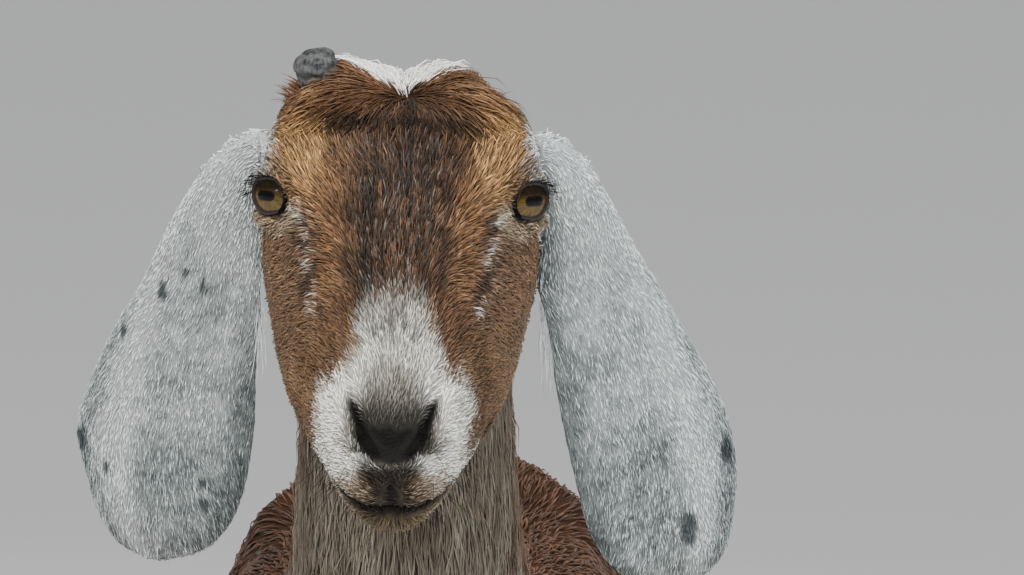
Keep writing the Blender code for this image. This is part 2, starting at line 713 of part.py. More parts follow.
def tail_locks():
    """Locks down both edges and the back of the tail, each leaving it a little towards its tip."""
    t = np.array(TAIL_GIRTHS)
    knots = np.arange(len(t))
    made = []
    for k in range(TAIL_LOCKS):
        start = 1.3 + 4.2 * k / TAIL_LOCKS
        lean = (-1, 0.15, 1, -0.35)[k % 4]
        at = np.linspace(start, start + 1.9, 5)
        held = np.minimum(at, len(t) - 1.2)
        centre = through(knots, t[:, :2], held)
        run = unit(np.gradient(through(knots, t[:, :2], np.minimum(at, len(t) - 1.05)), axis=0) + 1e-6)
        across = np.stack([run[:, 1], -run[:, 0]], -1)
        width, depth = through(knots, t[:, 2], held), through(knots, t[:, 3], held)
        s = np.linspace(0, 1, 5)
        back = -math.sqrt(1 - min(1.0, lean * lean))
        grow = 0.72 + 0.62 * s
        beyond = run[-1:] * (TAIL_LOCK_LENGTH * 0.45 * s ** 2)[:, None]
        yz = centre + across * (depth * back * grow)[:, None] + beyond
        path = np.concatenate([(width * lean * grow)[:, None], yz], -1)
        out = np.concatenate([np.full((5, 1), lean), across * back], -1)
        made.append(lock(path, unit(out), TAIL_LOCK_WIDTH))
    return made


def fuse(made, extras, solver="EXACT"):
    """Joins the pieces into one closed body."""
    group = bpy.data.collections.new("extras")
    for extra in extras:
        group.objects.link(extra)
    step = made.modifiers.new("union", "BOOLEAN")
    step.operation = "UNION"
    step.solver = solver
    step.operand_type = "COLLECTION"
    step.collection = group
    settle(made)
    for extra in extras:
        bpy.data.objects.remove(extra)
    bpy.data.collections.remove(group)
    keep_largest(made)


def tail_rings(rows=11, around=11):
    t = np.array(TAIL_GIRTHS)
    at = np.linspace(0, len(t) - 1, rows)
    knots = np.arange(len(t))
    centre = through(knots, t[:, :2], at)
    run = unit(np.gradient(centre, axis=0))
    across = np.stack([run[:, 1], -run[:, 0]], -1)
    width, depth = through(knots, t[:, 2], at), through(knots, t[:, 3], at)
    c, s = rounded(np.linspace(0, 2 * np.pi, around, endpoint=False), 2.0)
    yz = centre[:, None, :] + across[:, None, :] * (depth[:, None] * c[None, :])[..., None]
    return np.concatenate([(width[:, None] * s[None, :])[..., None], yz], -1)


def claw_rings(foot, side, inner, rows=5, around=16):
    """One half of the hoof: a flat sole with a pointed toe, drawn in towards the coronet.

    Around the ring the toe end is narrowed and its inner wall is kept straighter."""
    foot_x, foot_y = foot
    level = np.linspace(0, 1, rows)[:, None]
    angle = np.linspace(0, 2 * np.pi, around, endpoint=False)[None, :]
    c, s = rounded(angle, 2.3)
    toe = np.clip(c, 0, 1)
    y = np.where(c > 0, -(CLAW_TOE - CLAW_SETBACK * level) * c, -(CLAW_HEEL - 0.001 * level) * c)
    narrow = 1 - 0.55 * toe ** 2
    x = CLAW_HALF_WIDTH * s * narrow * (1 + 0.06 * (1 - level))
    middle = (CLAW_APART + 0.0012 * toe) * (-1 if inner else 1)
    top = CORONET_Z - CORONET_SLOPE * y - 1.2 * GAP
    z = level * top
    return np.stack([side * (foot_x + middle + x), foot_y + y, z], -1)


def dewclaw_rings(foot_x, y, z, side, inner, rows=5, around=7):
    """A small horn peg behind the pastern, pointing down and back."""
    t = np.linspace(0, 1, rows)
    way = unit(np.array((-0.10 if inner else 0.10, 0.42, -0.90)))
    root = np.array((foot_x + (-0.0115 if inner else 0.0115), y, z))
    spine = root + way * (0.017 * t)[:, None]
    first = unit(np.cross(way, (1, 0, 0)))
    second = np.cross(way, first)
    radius = 0.0068 * np.sqrt(np.clip(1 - t ** 2.4, 0.04, 1))
    angle = np.linspace(0, 2 * np.pi, around, endpoint=False)
    ring = first * np.cos(angle)[:, None] * 0.85 + second * np.sin(angle)[:, None]
    points = spine[:, None, :] + ring[None] * radius[:, None, None]
    points[..., 0] *= side
    return points


def ball(name, centre, radius, way, around=14, rows=8):
    work = bmesh.new()
    bmesh.ops.create_uvsphere(work, u_segments=around, v_segments=rows, radius=radius)
    turn = Vector((0, 0, 1)).rotation_difference(Vector(way)).to_matrix().to_4x4()
    bmesh.ops.transform(work, matrix=turn, verts=work.verts)
    bmesh.ops.translate(work, vec=Vector(centre), verts=work.verts)
    mesh = bpy.data.meshes.new(name)
    work.to_mesh(mesh)
    work.free()
    made = bpy.data.objects.new(name, mesh)
    bpy.context.collection.objects.link(made)
    return made


def eye_place(side):
    centre = head_to_world(EYE_CENTRE * np.array((side, 1, 1)))
    look = head_to_world(eye_axes(side)[0]) - EYES_MIDDLE
    return centre, look


def leg_block(block, side, grow):
    """The block that holds one leg, sloping up to the outside at its top."""
    (x, y, z), half, slope = block
    hx, hy, hz = np.array(half) + grow
    corners = []
    for sx in (-1, 1):
        for sy in (-1, 1):
            for sz in (-1, 1):
                rise = sx * hx * math.tan(slope) if sz > 0 else 0
                corners.append((side * (x + sx * hx), y + sy * hy, z + sz * hz + rise))
    faces = ((0, 1, 3, 2), (4, 6, 7, 5), (0, 4, 5, 1), (2, 3, 7, 6), (0, 2, 6, 4), (1, 5, 7, 3))
    made = new_object("block", corners, faces)
    face_outwards(made)
    return made


def finish(made, name, material):
    keep_largest(made)
    made.name = name
    made.data.name = name
    made.data.materials.clear()
    made.data.materials.append(material)
    made.data.shade_smooth()
    made.data.set_sharp_from_angle(angle=math.radians(50))
    return made


def material(name, colour, roughness):
    made = bpy.data.materials.new(name)
    made.use_nodes = True
    shader = made.node_tree.nodes["Principled BSDF"]
    shader.inputs["Base Color"].default_value = (*colour, 1)
    shader.inputs["Roughness"].default_value = roughness
    shader.inputs["Metallic"].default_value = 0.0
    return made


def make_head(coats):
    whole = head_form()
    thin_out(whole, HEAD_TRIANGLES)
    keep_largest(whole)
    fuse(whole, poll_locks(whole))
    horn = tube("horn", horn_rings())
    clear_of(horn, whole)
    finish(horn, "horn_right", coats["horn"])
    for side, word, table in ((1, "left", EAR_LEFT), (-1, "right", EAR_RIGHT)):
        ear = tube("ear", ear_rings(table, side))
        clear_of(ear, whole)
        finish(ear, "ear_" + word, coats["ear"])
        centre, look = eye_place(side)
        socket = ball("socket", centre, EYE_RADIUS + GAP, look, 28, 16)
        boolean(whole, socket, "DIFFERENCE")
        bpy.data.objects.remove(socket)
        finish(ball("eye", centre, EYE_RADIUS, look), "eye_" + word, coats["eye"])
    halved(whole, NECK_TOP_POINT - NECK_TOP_WAY * GAP / 2, NECK_TOP_WAY)
    finish(whole, "head", coats["face"])


def make_leg(body, block, girths, side, word, end, cut, foot, coats):
    leg = copy_of(body, "leg")
    box = leg_block(block, side, 0)
    boolean(leg, box, "INTERSECT")
    bpy.data.objects.remove(box)
    keep_largest(leg)
    coronet = np.array((0, CORONET_SLOPE, 1.0))
    halved(leg, (0, foot[1], CORONET_Z), -coronet)
    upper = copy_of(leg, "upper")
    halved(upper, (0, 0, cut + GAP / 2), (0, 0, -1))
    halved(leg, (0, 0, cut - GAP / 2), (0, 0, 1))
    finish(upper, f"{end}_leg_{word}_upper", coats["body"])
    finish(leg, f"{end}_leg_{word}_lower", coats["leg"])
    fetlock = girths[-4]
    for inner in (True, False):
        part = "inner" if inner else "outer"
        claw = tube("claw", claw_rings(foot, side, inner))
        finish(claw, f"{end}_hoof_{word}_{part}", coats["hoof"])
        peg = tube("peg", dewclaw_rings(fetlock[0], fetlock[1] + fetlock[4] - 0.0065, fetlock[2] - 0.002, side, inner))
        clear_of(peg, leg)
        finish(peg, f"{end}_dewclaw_{word}_{part}", coats["hoof"])


def make_body(coats):
    body = body_form()
    thin_out(body, BODY_TRIANGLES)
    keep_largest(body)
    halved(body, NECK_TOP_POINT + NECK_TOP_WAY * GAP / 2, -NECK_TOP_WAY)
    keep_largest(body)
    neck = copy_of(body, "neck")
    halved(neck, NECK_FOOT_POINT - NECK_FOOT_WAY * GAP / 2, NECK_FOOT_WAY)
    finish(neck, "neck", coats["neck"])
    torso = copy_of(body, "torso")
    halved(torso, NECK_FOOT_POINT + NECK_FOOT_WAY * GAP / 2, -NECK_FOOT_WAY)
    for side, word in ((1, "left"), (-1, "right")):
        for block, girths, end, cut, foot in ((FORE_BLOCK, FORE_GIRTHS, "fore", KNEE_CUT, FORE_FOOT),
                                              (HIND_BLOCK, HIND_GIRTHS, "hind", HOCK_CUT, HIND_FOOT)):
            make_leg(body, block, girths, side, word, end, cut, foot, coats)
            box = leg_block(block, side, GAP)
            boolean(torso, box, "DIFFERENCE")
            bpy.data.objects.remove(box)
    finish(torso, "torso", coats["body"])
    bpy.data.objects.remove(body)
    tail = tube("tail", tail_rings())
    fuse(tail, tail_locks(), "MANIFOLD")
    clear_of(tail, torso)
    finish(tail, "tail", coats["body"])


def stand_over_origin():
    """Moves the finished pieces along Y, so that the origin lies under the middle of the whole."""
    pieces = list(bpy.data.objects)
    reach = np.concatenate([points_of(piece)[:, 1] for piece in pieces])
    middle = (reach.min() + reach.max()) / 2
    for piece in pieces:
        set_points(piece, points_of(piece) - (0, middle, 0))


def main():
    for thing in list(bpy.data.objects):
        bpy.data.objects.remove(thing)
    coats = {
        "face": material("face_coat", (0.17, 0.085, 0.050), 0.8),
        "ear": material("ear_coat", (0.42, 0.45, 0.45), 0.8),
        "neck": material("neck_coat", (0.26, 0.22, 0.20), 0.85),
        "body": material("body_coat", (0.14, 0.060, 0.035), 0.85),
        "leg": material("leg_coat", (0.09, 0.045, 0.030), 0.8),
        "horn": material("horn", (0.08, 0.085, 0.095), 0.6),
        "hoof": material("hoof", (0.05, 0.045, 0.040), 0.55),
        "eye": material("eye", (0.25, 0.17, 0.05), 0.1),
    }
    make_head(coats)
    make_body(coats)
    stand_over_origin()


if __name__ == "__main__":
    main()
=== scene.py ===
"""A life-size Nubian goat, standing still with its head turned to the front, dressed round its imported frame.

The skin repeats the lofts of the solids, a coat's depth inside them. The coat is short, flat and solid:
each tuft is a thin three-sided blade that lies along the skin. Markings are functions of place, shared
by skin and coat. Sizes are in metres; the goat faces -Y and its own left side is +X.
"""
import math
from functools import cache

import bmesh
import bpy
import numpy as np
from bpy.props import FloatProperty, FloatVectorProperty, PointerProperty
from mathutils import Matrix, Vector
from mathutils.bvhtree import BVHTree


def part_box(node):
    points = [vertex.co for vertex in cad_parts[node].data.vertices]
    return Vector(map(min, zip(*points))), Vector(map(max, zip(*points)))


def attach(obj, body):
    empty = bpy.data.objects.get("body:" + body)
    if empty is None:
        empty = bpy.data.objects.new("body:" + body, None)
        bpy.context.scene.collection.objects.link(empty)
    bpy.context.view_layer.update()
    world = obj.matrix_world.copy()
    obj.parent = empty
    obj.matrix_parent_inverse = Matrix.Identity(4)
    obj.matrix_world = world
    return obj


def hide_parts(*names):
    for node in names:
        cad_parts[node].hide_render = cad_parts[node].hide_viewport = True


bl_info = {
    "name": "Nubian goat",
    "version": (1, 0, 0),
    "blender": (4, 5, 0),
    "location": "3D View > Sidebar > Goat",
    "description": "Builds a life-size Nubian goat with its coat, round its solid frame",
    "category": "Add Mesh",
}

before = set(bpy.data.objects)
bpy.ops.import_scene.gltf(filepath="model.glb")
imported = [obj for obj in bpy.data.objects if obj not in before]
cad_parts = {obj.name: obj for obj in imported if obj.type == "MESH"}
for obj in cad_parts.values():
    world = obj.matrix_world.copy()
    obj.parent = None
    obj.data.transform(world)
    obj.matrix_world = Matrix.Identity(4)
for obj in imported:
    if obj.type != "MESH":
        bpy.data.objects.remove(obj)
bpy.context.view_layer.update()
MM = 0.001
GAP = 0.0003                       # between solids that would touch
SIDES = ((1, "left"), (-1, "right"))       # the goat's own sides, each with the sign of X there

# Head: its own frame runs A along the face towards the muzzle and B up out of the forehead, from a
# point midway between the eyes.
EYES_MIDDLE = np.array((0.0, -0.490, 0.945))
FACE_PITCH = math.radians(44)      # how far the face points below level
HEAD_ROLL = math.radians(1.2)      # the goat's left eye is the lower one
EYE_CENTRE = np.array((0.0515, -0.002, -0.002))
EYE_RADIUS = 0.0150
EYE_LOOK = np.array((0.54, 0.47, 0.70))
LID_HALF_LENGTH = 0.0110
LID_HALF_HEIGHT = 0.0074
LID_DROP = 0.0012                  # how far the opening of the lids lies below the middle of the ball
LID_TILT = math.radians(-36)       # the inner corner lies lower than the outer one
PUPIL_UP = np.array((0.0, -0.643, 0.766))      # square to the level slot of the pupil

# Girths of the head: ahead of the eyes, half width, top, widest level, bottom, squareness above, below.
HEAD_GIRTHS = (
    (-0.090, 0.018, -0.016, -0.030, -0.044, 2.0, 2.0),
    (-0.082, 0.034, 0.002, -0.022, -0.066, 2.0, 2.0),
    (-0.066, 0.048, 0.019, -0.008, -0.088, 2.2, 2.2),
    (-0.045, 0.0580, 0.034, 0.000, -0.099, 2.3, 2.5),
    (-0.020, 0.0630, 0.040, 0.001, -0.103, 2.3, 2.9),
    (0.000, 0.0625, 0.037, -0.006, -0.101, 2.3, 3.4),
    (0.025, 0.0590, 0.036, -0.022, -0.095, 2.1, 3.4),
    (0.050, 0.0547, 0.034, -0.034, -0.088, 1.9, 3.2),
    (0.075, 0.0488, 0.029, -0.038, -0.082, 1.8, 2.8),
    (0.100, 0.0388, 0.020, -0.034, -0.077, 2.0, 2.2),
    (0.118, 0.0325, 0.010, -0.028, -0.072, 2.4, 1.9),
    (0.130, 0.0265, -0.001, -0.030, -0.069, 2.3, 1.9),
    (0.139, 0.0190, -0.012, -0.034, -0.060, 2.2, 2.0),
    (0.144, 0.0105, -0.023, -0.036, -0.050, 2.0, 2.0),
)

# Girths of the neck: place along Y and Z, half width, half depth across the neck.
NECK_GIRTHS = (
    (-0.440, 0.985, 0.022, 0.012),
    (-0.428, 0.966, 0.036, 0.035),
    (-0.412, 0.935, 0.047, 0.056),
    (-0.395, 0.890, 0.050, 0.062),
    (-0.372, 0.830, 0.052, 0.067),
    (-0.340, 0.760, 0.058, 0.081),
    (-0.295, 0.685, 0.072, 0.110),
    (-0.235, 0.615, 0.092, 0.132),
    (-0.170, 0.570, 0.095, 0.130),
)

# Girths of the trunk: place along Y, half width, top, widest level, bottom, squareness.
TRUNK_GIRTHS = (
    (-0.352, 0.030, 0.570, 0.535, 0.495, 2.0),
    (-0.335, 0.068, 0.615, 0.535, 0.452, 2.1),
    (-0.290, 0.098, 0.670, 0.540, 0.424, 2.2),
    (-0.220, 0.112, 0.718, 0.545, 0.412, 2.2),
    (-0.120, 0.126, 0.731, 0.540, 0.404, 2.2),
    (0.000, 0.152, 0.722, 0.535, 0.390, 2.2),
    (0.110, 0.166, 0.718, 0.530, 0.388, 2.2),
    (0.200, 0.150, 0.728, 0.545, 0.415, 2.2),
    (0.270, 0.124, 0.738, 0.585, 0.458, 2.3),
    (0.340, 0.100, 0.722, 0.610, 0.500, 2.3),
    (0.390, 0.070, 0.690, 0.620, 0.545, 2.1),
    (0.412, 0.030, 0.655, 0.620, 0.590, 2.0),
)

# Girths of a fore leg: X, Y, Z, half width, half length along Y.
FORE_GIRTHS = (
    (0.060, -0.205, 0.690, 0.012, 0.024),
    (0.072, -0.218, 0.655, 0.028, 0.048),
    (0.081, -0.242, 0.580, 0.034, 0.062),
    (0.086, -0.248, 0.520, 0.037, 0.066),
    (0.087, -0.224, 0.450, 0.033, 0.052),
    (0.087, -0.208, 0.400, 0.028, 0.037),
    (0.084, -0.207, 0.340, 0.0225, 0.0275),
    (0.082, -0.211, 0.290, 0.0205, 0.0225),
    (0.081, -0.215, 0.258, 0.0235, 0.0245),
    (0.080, -0.212, 0.228, 0.0185, 0.0200),
    (0.080, -0.211, 0.165, 0.0142, 0.0165),
    (0.080, -0.210, 0.115, 0.0150, 0.0175),
    (0.080, -0.211, 0.092, 0.0185, 0.0205),
    (0.080, -0.219, 0.062, 0.0165, 0.0180),
    (0.080, -0.228, 0.036, 0.0215, 0.0235),
    (0.080, -0.231, 0.010, 0.0215, 0.0235),
)

# Girths of a hind leg, the same way.
HIND_GIRTHS = (
    (0.062, 0.285, 0.690, 0.016, 0.040),
    (0.076, 0.290, 0.650, 0.036, 0.080),
    (0.090, 0.285, 0.580, 0.046, 0.096),
    (0.099, 0.280, 0.510, 0.047, 0.092),
    (0.102, 0.275, 0.450, 0.040, 0.074),
    (0.100, 0.290, 0.395, 0.030, 0.053),
    (0.095, 0.311, 0.345, 0.0225, 0.0375),
    (0.091, 0.330, 0.302, 0.0195, 0.0300),
    (0.089, 0.338, 0.272, 0.0205, 0.0265),
    (0.087, 0.335, 0.240, 0.0170, 0.0215),
    (0.086, 0.328, 0.175, 0.0145, 0.0180),
    (0.085, 0.322, 0.118, 0.0150, 0.0175),
    (0.085, 0.318, 0.093, 0.0185, 0.0205),
    (0.085, 0.309, 0.062, 0.0165, 0.0180),
    (0.085, 0.300, 0.036, 0.0215, 0.0235),
    (0.085, 0.297, 0.010, 0.0215, 0.0235),
)

# Bony and hollow places of the body, on both sides: X, Y, Z, reach, height out of the surface.
BODY_FORMS = (
    (0.105, -0.300, 0.545, 0.035, 0.008),      # point of the shoulder
    (0.085, -0.215, 0.690, 0.045, 0.006),      # shoulder blade
    (0.115, -0.110, 0.640, 0.060, -0.006),     # behind the shoulder blade
    (0.095, 0.215, 0.712, 0.030, 0.010),       # hip bone
    (0.055, 0.385, 0.655, 0.028, 0.008),       # pin bone
    (0.130, 0.160, 0.640, 0.050, -0.014),      # hollow of the flank
    (0.135, 0.215, 0.455, 0.035, 0.008),       # stifle
)

# Forms of the head, on both sides, in the head's frame: side, ahead, up, reach, height.
HEAD_FORMS = (
    (0.050, -0.008, 0.018, 0.014, 0.0030),     # brow
    (0.047, 0.036, -0.012, 0.014, -0.0035),    # tear groove
    (0.046, 0.070, -0.022, 0.020, -0.0020),    # side of the nose
    (0.058, -0.010, -0.058, 0.026, 0.0030),    # cheek muscle
    (0.030, 0.105, -0.034, 0.014, 0.0020),     # upper lip
    (0.050, 0.010, -0.022, 0.010, 0.0020),     # rim under the eye
    (0.027, -0.047, 0.040, 0.013, 0.0030),     # boss of the poll
)

# The line of the right nostril, and the mouth's height at the front and at the corner.
NOSTRIL = ((0.0180, 0.107, 0.006), (0.0166, 0.120, 0.000), (0.0125, 0.130, -0.008), (0.0082, 0.134, -0.012))
MOUTH_FRONT = -0.0425
MOUTH_CORNER = -0.053
MOUTH_BACK = 0.076
CHIN_NARROWING = 0.10

# Ears as seen from the front: out from the midline, below the eyes, half width, tilt of the width.
# The goat's own left ear reaches lower than its right one.
EAR_LEFT = (
    (0.0500, -0.0135, 0.0130, 90),
    (0.0660, -0.0128, 0.0150, 86),
    (0.0750, 0.0050, 0.0215, 50),
    (0.0845, 0.0295, 0.0252, 21),
    (0.0955, 0.0535, 0.0302, 8),
    (0.1050, 0.0805, 0.0357, 7),
    (0.1132, 0.1050, 0.0390, 5),
    (0.1185, 0.1295, 0.0389, 3),
    (0.1205, 0.1500, 0.0355, 2),
    (0.1228, 0.1660, 0.0295, 1),
    (0.1242, 0.1770, 0.0190, 0),
    (0.1250, 0.1830, 0.0050, 0),
)
EAR_RIGHT = (
    (0.0515, -0.0145, 0.0134, 90),
    (0.0675, -0.0142, 0.0157, 86),
    (0.0772, 0.0000, 0.0221, 50),
    (0.0879, 0.0236, 0.0268, 25),
    (0.0953, 0.0475, 0.0319, 12),
    (0.1035, 0.0722, 0.0383, 7),
    (0.1081, 0.0948, 0.0422, 4),
    (0.1114, 0.1132, 0.0436, 2),
    (0.1110, 0.1317, 0.0397, 1),
    (0.1112, 0.1495, 0.0332, 0),
    (0.1123, 0.1630, 0.0221, 0),
    (0.1138, 0.1700, 0.0052, 0),
)
EARS = {1: EAR_LEFT, -1: EAR_RIGHT}
EAR_BASE_Y = -0.450
EAR_SWING = 0.012                  # the tip hangs this much further forward than the base
EAR_YAW = math.radians(38)         # the broad face looks half forward and half outward
EAR_THICKNESS = 0.0046
EAR_TURN = (0.6, 3.8)              # rows of the table between which the leaf turns from upright to hanging
EAR_RIDGE = 0.28                   # where the ridge runs, from -1 to 1 across the leaf
EAR_CUP = (1.10, 0.82)             # depth of the cup in half widths at the root, and what it loses by hanging
EAR_CUP_LEVEL = 0.2                # how high of that depth the table's own line lies, from the margins

# The blunt horn stub on the goat's right, in the head's frame, and its size.
HORN_ROOT = np.array((-0.032, -0.046, 0.012))
HORN_TIP = np.array((-0.0420, -0.054, 0.0370))
HORN_RADIUS = 0.0108

# The tail: Y, Z, half width, half depth.
TAIL_GIRTHS = (
    (0.375, 0.690, 0.020, 0.015),
    (0.402, 0.702, 0.023, 0.016),
    (0.427, 0.699, 0.026, 0.015),
    (0.443, 0.676, 0.028, 0.014),
    (0.450, 0.645, 0.027, 0.013),
    (0.453, 0.610, 0.019, 0.010),
    (0.454, 0.584, 0.006, 0.005),
)

# Feet: the middle of each, and the shape of one claw.
FORE_FOOT = (0.080, -0.230)
HIND_FOOT = (0.085, 0.298)
CLAW_HALF_WIDTH = 0.0104
CLAW_APART = 0.0111                # from the foot's middle to a claw's middle
CLAW_HEEL = 0.0225
CLAW_TOE = 0.0350
CLAW_SETBACK = 0.0125              # how far the front wall leans back by the top
CORONET_Z = 0.030
CORONET_SLOPE = 0.24               # higher in front

# Planes that part head, neck and trunk: a point and the direction of the piece that lies beyond.
NECK_TOP_POINT = np.array((0, -0.395, 0.915))
NECK_TOP_WAY = np.array((0, 0.83, -0.556))
NECK_FOOT_POINT = np.array((0, -0.268, 0.655))
NECK_FOOT_WAY = np.array((0, 0.75, -0.66))
PART_LAP = 0.002                   # how far the hair of head and neck laps over their shared plane


def unit(v):
    """The vector, or each row of vectors, at length one."""
    v = np.asarray(v, float)
    return v / np.linalg.norm(v, axis=-1, keepdims=True)


def through(places, values, at):
    """A smooth curve through the values, read at new places: cubic, with each slope from its neighbours."""
    x, y = np.asarray(places, float), np.asarray(values, float)
    steps = np.diff(x)
    rises = np.diff(y, axis=0) / steps.reshape((-1,) + (1,) * (y.ndim - 1))
    slopes = np.concatenate([rises[:1], (rises[1:] + rises[:-1]) / 2, rises[-1:]])
    i = np.clip(np.searchsorted(x, at) - 1, 0, len(x) - 2)
    h = steps[i]
    t = (at - x[i]) / h
    grow = (slice(None),) + (None,) * (y.ndim - 1)
    t, h = t[grow], h[grow]
    return (y[i] * (1 + 2 * t) * (1 - t) ** 2 + slopes[i] * h * t * (1 - t) ** 2
            + y[i + 1] * t * t * (3 - 2 * t) + slopes[i + 1] * h * t * t * (t - 1))


def smooth_step(low, high, x):
    """0 below low, 1 above high, with a soft rise between them."""
    t = np.clip((x - low) / (high - low), 0, 1)
    return t * t * (3 - 2 * t)


def bump(distance, width):
    """1 at distance 0, fading like a bell to nearly nothing at two widths."""
    return np.exp(-(distance / width) ** 2)


def rounded(angle, squareness):
    """Cosine and sine of the angle, pushed towards a square as squareness grows past 2."""
    c, s = np.cos(angle), np.sin(angle)
    return (np.sign(c) * np.abs(c) ** (2 / squareness), np.sign(s) * np.abs(s) ** (2 / squareness))


def girth_rings(table, rows, around):
    """Rings across an axis from a table of place, half width, top, widest level, bottom and squareness.

    Returns the place along the axis, the offset to the side and the height of every point."""
    t = np.array(table)
    place = through(np.arange(len(t)), t[:, 0], np.linspace(0, len(t) - 1, rows))
    width, top, level, bottom = (through(t[:, 0], t[:, k], place)[:, None] for k in (1, 2, 3, 4))
    above = through(t[:, 0], t[:, 5], place)[:, None]
    below = through(t[:, 0], t[:, -1], place)[:, None]
    angle = np.linspace(0, 2 * np.pi, around, endpoint=False)[None, :]
    up, side = rounded(angle, np.where(np.cos(angle) > 0, above, below))
    height = level + np.where(up > 0, top - level, level - bottom) * up
    return np.broadcast_to(place[:, None], side.shape), width * side, height


def head_to_world(points):
    """Points of the head's own frame (side, along the face, out of the forehead) as world points."""
    p = np.asarray(points, float)
    forward = np.array((0, -math.cos(FACE_PITCH), -math.sin(FACE_PITCH)))
    upward = np.array((0, -math.sin(FACE_PITCH), math.cos(FACE_PITCH)))
    side = np.array((1.0, 0, 0))
    out = p[..., :1] * side + p[..., 1:2] * forward + p[..., 2:3] * upward
    c, s = math.cos(HEAD_ROLL), math.sin(HEAD_ROLL)
    rolled = np.stack([c * out[..., 0] + s * out[..., 2], out[..., 1], c * out[..., 2] - s * out[..., 0]], -1)
    return rolled + EYES_MIDDLE


def world_to_head(points):
    """The inverse of head_to_world."""
    q = np.asarray(points, float) - EYES_MIDDLE
    c, s = math.cos(HEAD_ROLL), math.sin(HEAD_ROLL)
    x, z = c * q[..., 0] - s * q[..., 2], c * q[..., 2] + s * q[..., 0]
    along = -math.cos(FACE_PITCH) * q[..., 1] - math.sin(FACE_PITCH) * z
    out = -math.sin(FACE_PITCH) * q[..., 1] + math.cos(FACE_PITCH) * z
    return np.stack([x, along, out], -1)


def head_rings(rows, around):
    """The rings of the skull, in the world."""
    along, side, height = girth_rings(HEAD_GIRTHS, rows, around)
    return head_to_world(np.stack([side, along, height], -1))


def trunk_rings(rows, around):
    """The rings of the trunk."""
    along, side, height = girth_rings(TRUNK_GIRTHS, rows, around)
    return np.stack([side, along, height], -1)


def bent_rings(table, rows, around, squareness):
    """Rings square to a line that bends in the Y-Z plane, from a table of Y, Z, half width and half depth:
    the half width goes with the sine of the angle, to the side, and the half depth with its cosine."""
    t = np.array(table)
    knots = np.arange(len(t))
    at = np.linspace(0, len(t) - 1, rows)
    centre = through(knots, t[:, :2], at)
    run = unit(np.gradient(centre, axis=0))
    across = np.stack([run[:, 1], -run[:, 0]], -1)
    width, depth = through(knots, t[:, 2], at), through(knots, t[:, 3], at)
    c, s = rounded(np.linspace(0, 2 * np.pi, around, endpoint=False), squareness)
    yz = centre[:, None, :] + across[:, None, :] * (depth[:, None] * c[None, :])[..., None]
    return np.concatenate([(width[:, None] * s[None, :])[..., None], yz], -1)


def neck_rings(rows, around):
    """The rings of the neck, a little squared."""
    return bent_rings(NECK_GIRTHS, rows, around, 2.15)


def leg_rings(table, side, rows, around):
    """A leg's rings, each across the leg's own run; side is +1 for the goat's left and -1 for its right."""
    t = np.array(table)
    knots = np.arange(len(t))
    at = np.linspace(0, len(t) - 1, rows)
    centre = through(knots, t[:, :3], at)
    run = unit(np.gradient(centre, axis=0))
    ahead = unit(np.cross(run, (1.0, 0, 0)))
    width, depth = through(knots, t[:, 3], at), through(knots, t[:, 4], at)
    c, s = rounded(np.linspace(0, 2 * np.pi, around, endpoint=False), 2.2)
    ring = (centre[:, None, :] + ahead[:, None, :] * (depth[:, None] * c[None, :])[..., None]
            + np.array((1.0, 0, 0)) * (width[:, None] * s[None, :])[..., None])
    ring[..., 0] *= side
    return ring


def new_object(name, points, faces):
    """An object of these points and faces, linked to the scene."""
    mesh = bpy.data.meshes.new(name)
    mesh.from_pydata([tuple(p) for p in points], [], [tuple(f) for f in faces])
    mesh.validate()
    made = bpy.data.objects.new(name, mesh)
    bpy.context.collection.objects.link(made)
    return made


def tube(name, rings):
    """A closed skin over rings of points, with a middle point on each end."""
    rows, around = rings.shape[:2]
    points = np.concatenate([rings.reshape(-1, 3), rings[0].mean(0)[None], rings[-1].mean(0)[None]])
    first, last = rows * around, rows * around + 1
    faces = []
    for j in range(around):
        k = (j + 1) % around
        faces += [(i * around + j, i * around + k, (i + 1) * around + k, (i + 1) * around + j)
                  for i in range(rows - 1)]
        faces.append((first, k, j))
        faces.append((last, (rows - 1) * around + j, (rows - 1) * around + k))
    made = new_object(name, points, faces)
    face_outwards(made)
    return made


def outwards(work):
    """Turns all faces of an open mesh outwards."""
    bmesh.ops.recalc_face_normals(work, faces=work.faces)
    if work.calc_volume(signed=True) < 0:
        bmesh.ops.reverse_faces(work, faces=work.faces)


def face_outwards(made):
    """Turns all faces of an object outwards."""
    work = bmesh.new()
    work.from_mesh(made.data)
    outwards(work)
    work.to_mesh(made.data)
    work.free()


def points_of(made, value="co"):
    """The object's points, or another value of them, as rows."""
    flat = np.empty(len(made.data.vertices) * 3)
    made.data.vertices.foreach_get(value, flat)
    return flat.reshape(-1, 3)


def normals_of(made):
    """The normals at the object's points."""
    return points_of(made, "normal")


def set_points(made, points):
    """Moves the object's points to these places."""
    made.data.vertices.foreach_set("co", np.ascontiguousarray(points).ravel())
    made.data.update()


def settle(made):
    """Applies the object's modifiers."""
    graph = bpy.context.evaluated_depsgraph_get()
    graph.update()
    mesh = bpy.data.meshes.new_from_object(made.evaluated_get(graph))
    made.modifiers.clear()
    made.data = mesh


def joined(name, parts):
    """One object of all the parts' meshes, which may still cross each other."""
    work = bmesh.new()
    for part in parts:
        work.from_mesh(part.data)
    mesh = bpy.data.meshes.new(name)
    work.to_mesh(mesh)
    work.free()
    for part in parts:
        bpy.data.objects.remove(part)
    made = bpy.data.objects.new(name, mesh)
    bpy.context.collection.objects.link(made)
    return made


def remesh(made, size):
    """Makes one closed skin of voxels of this size."""
    step = made.modifiers.new("voxels", "REMESH")
    step.mode = "VOXEL"
    step.voxel_size = size
    settle(made)


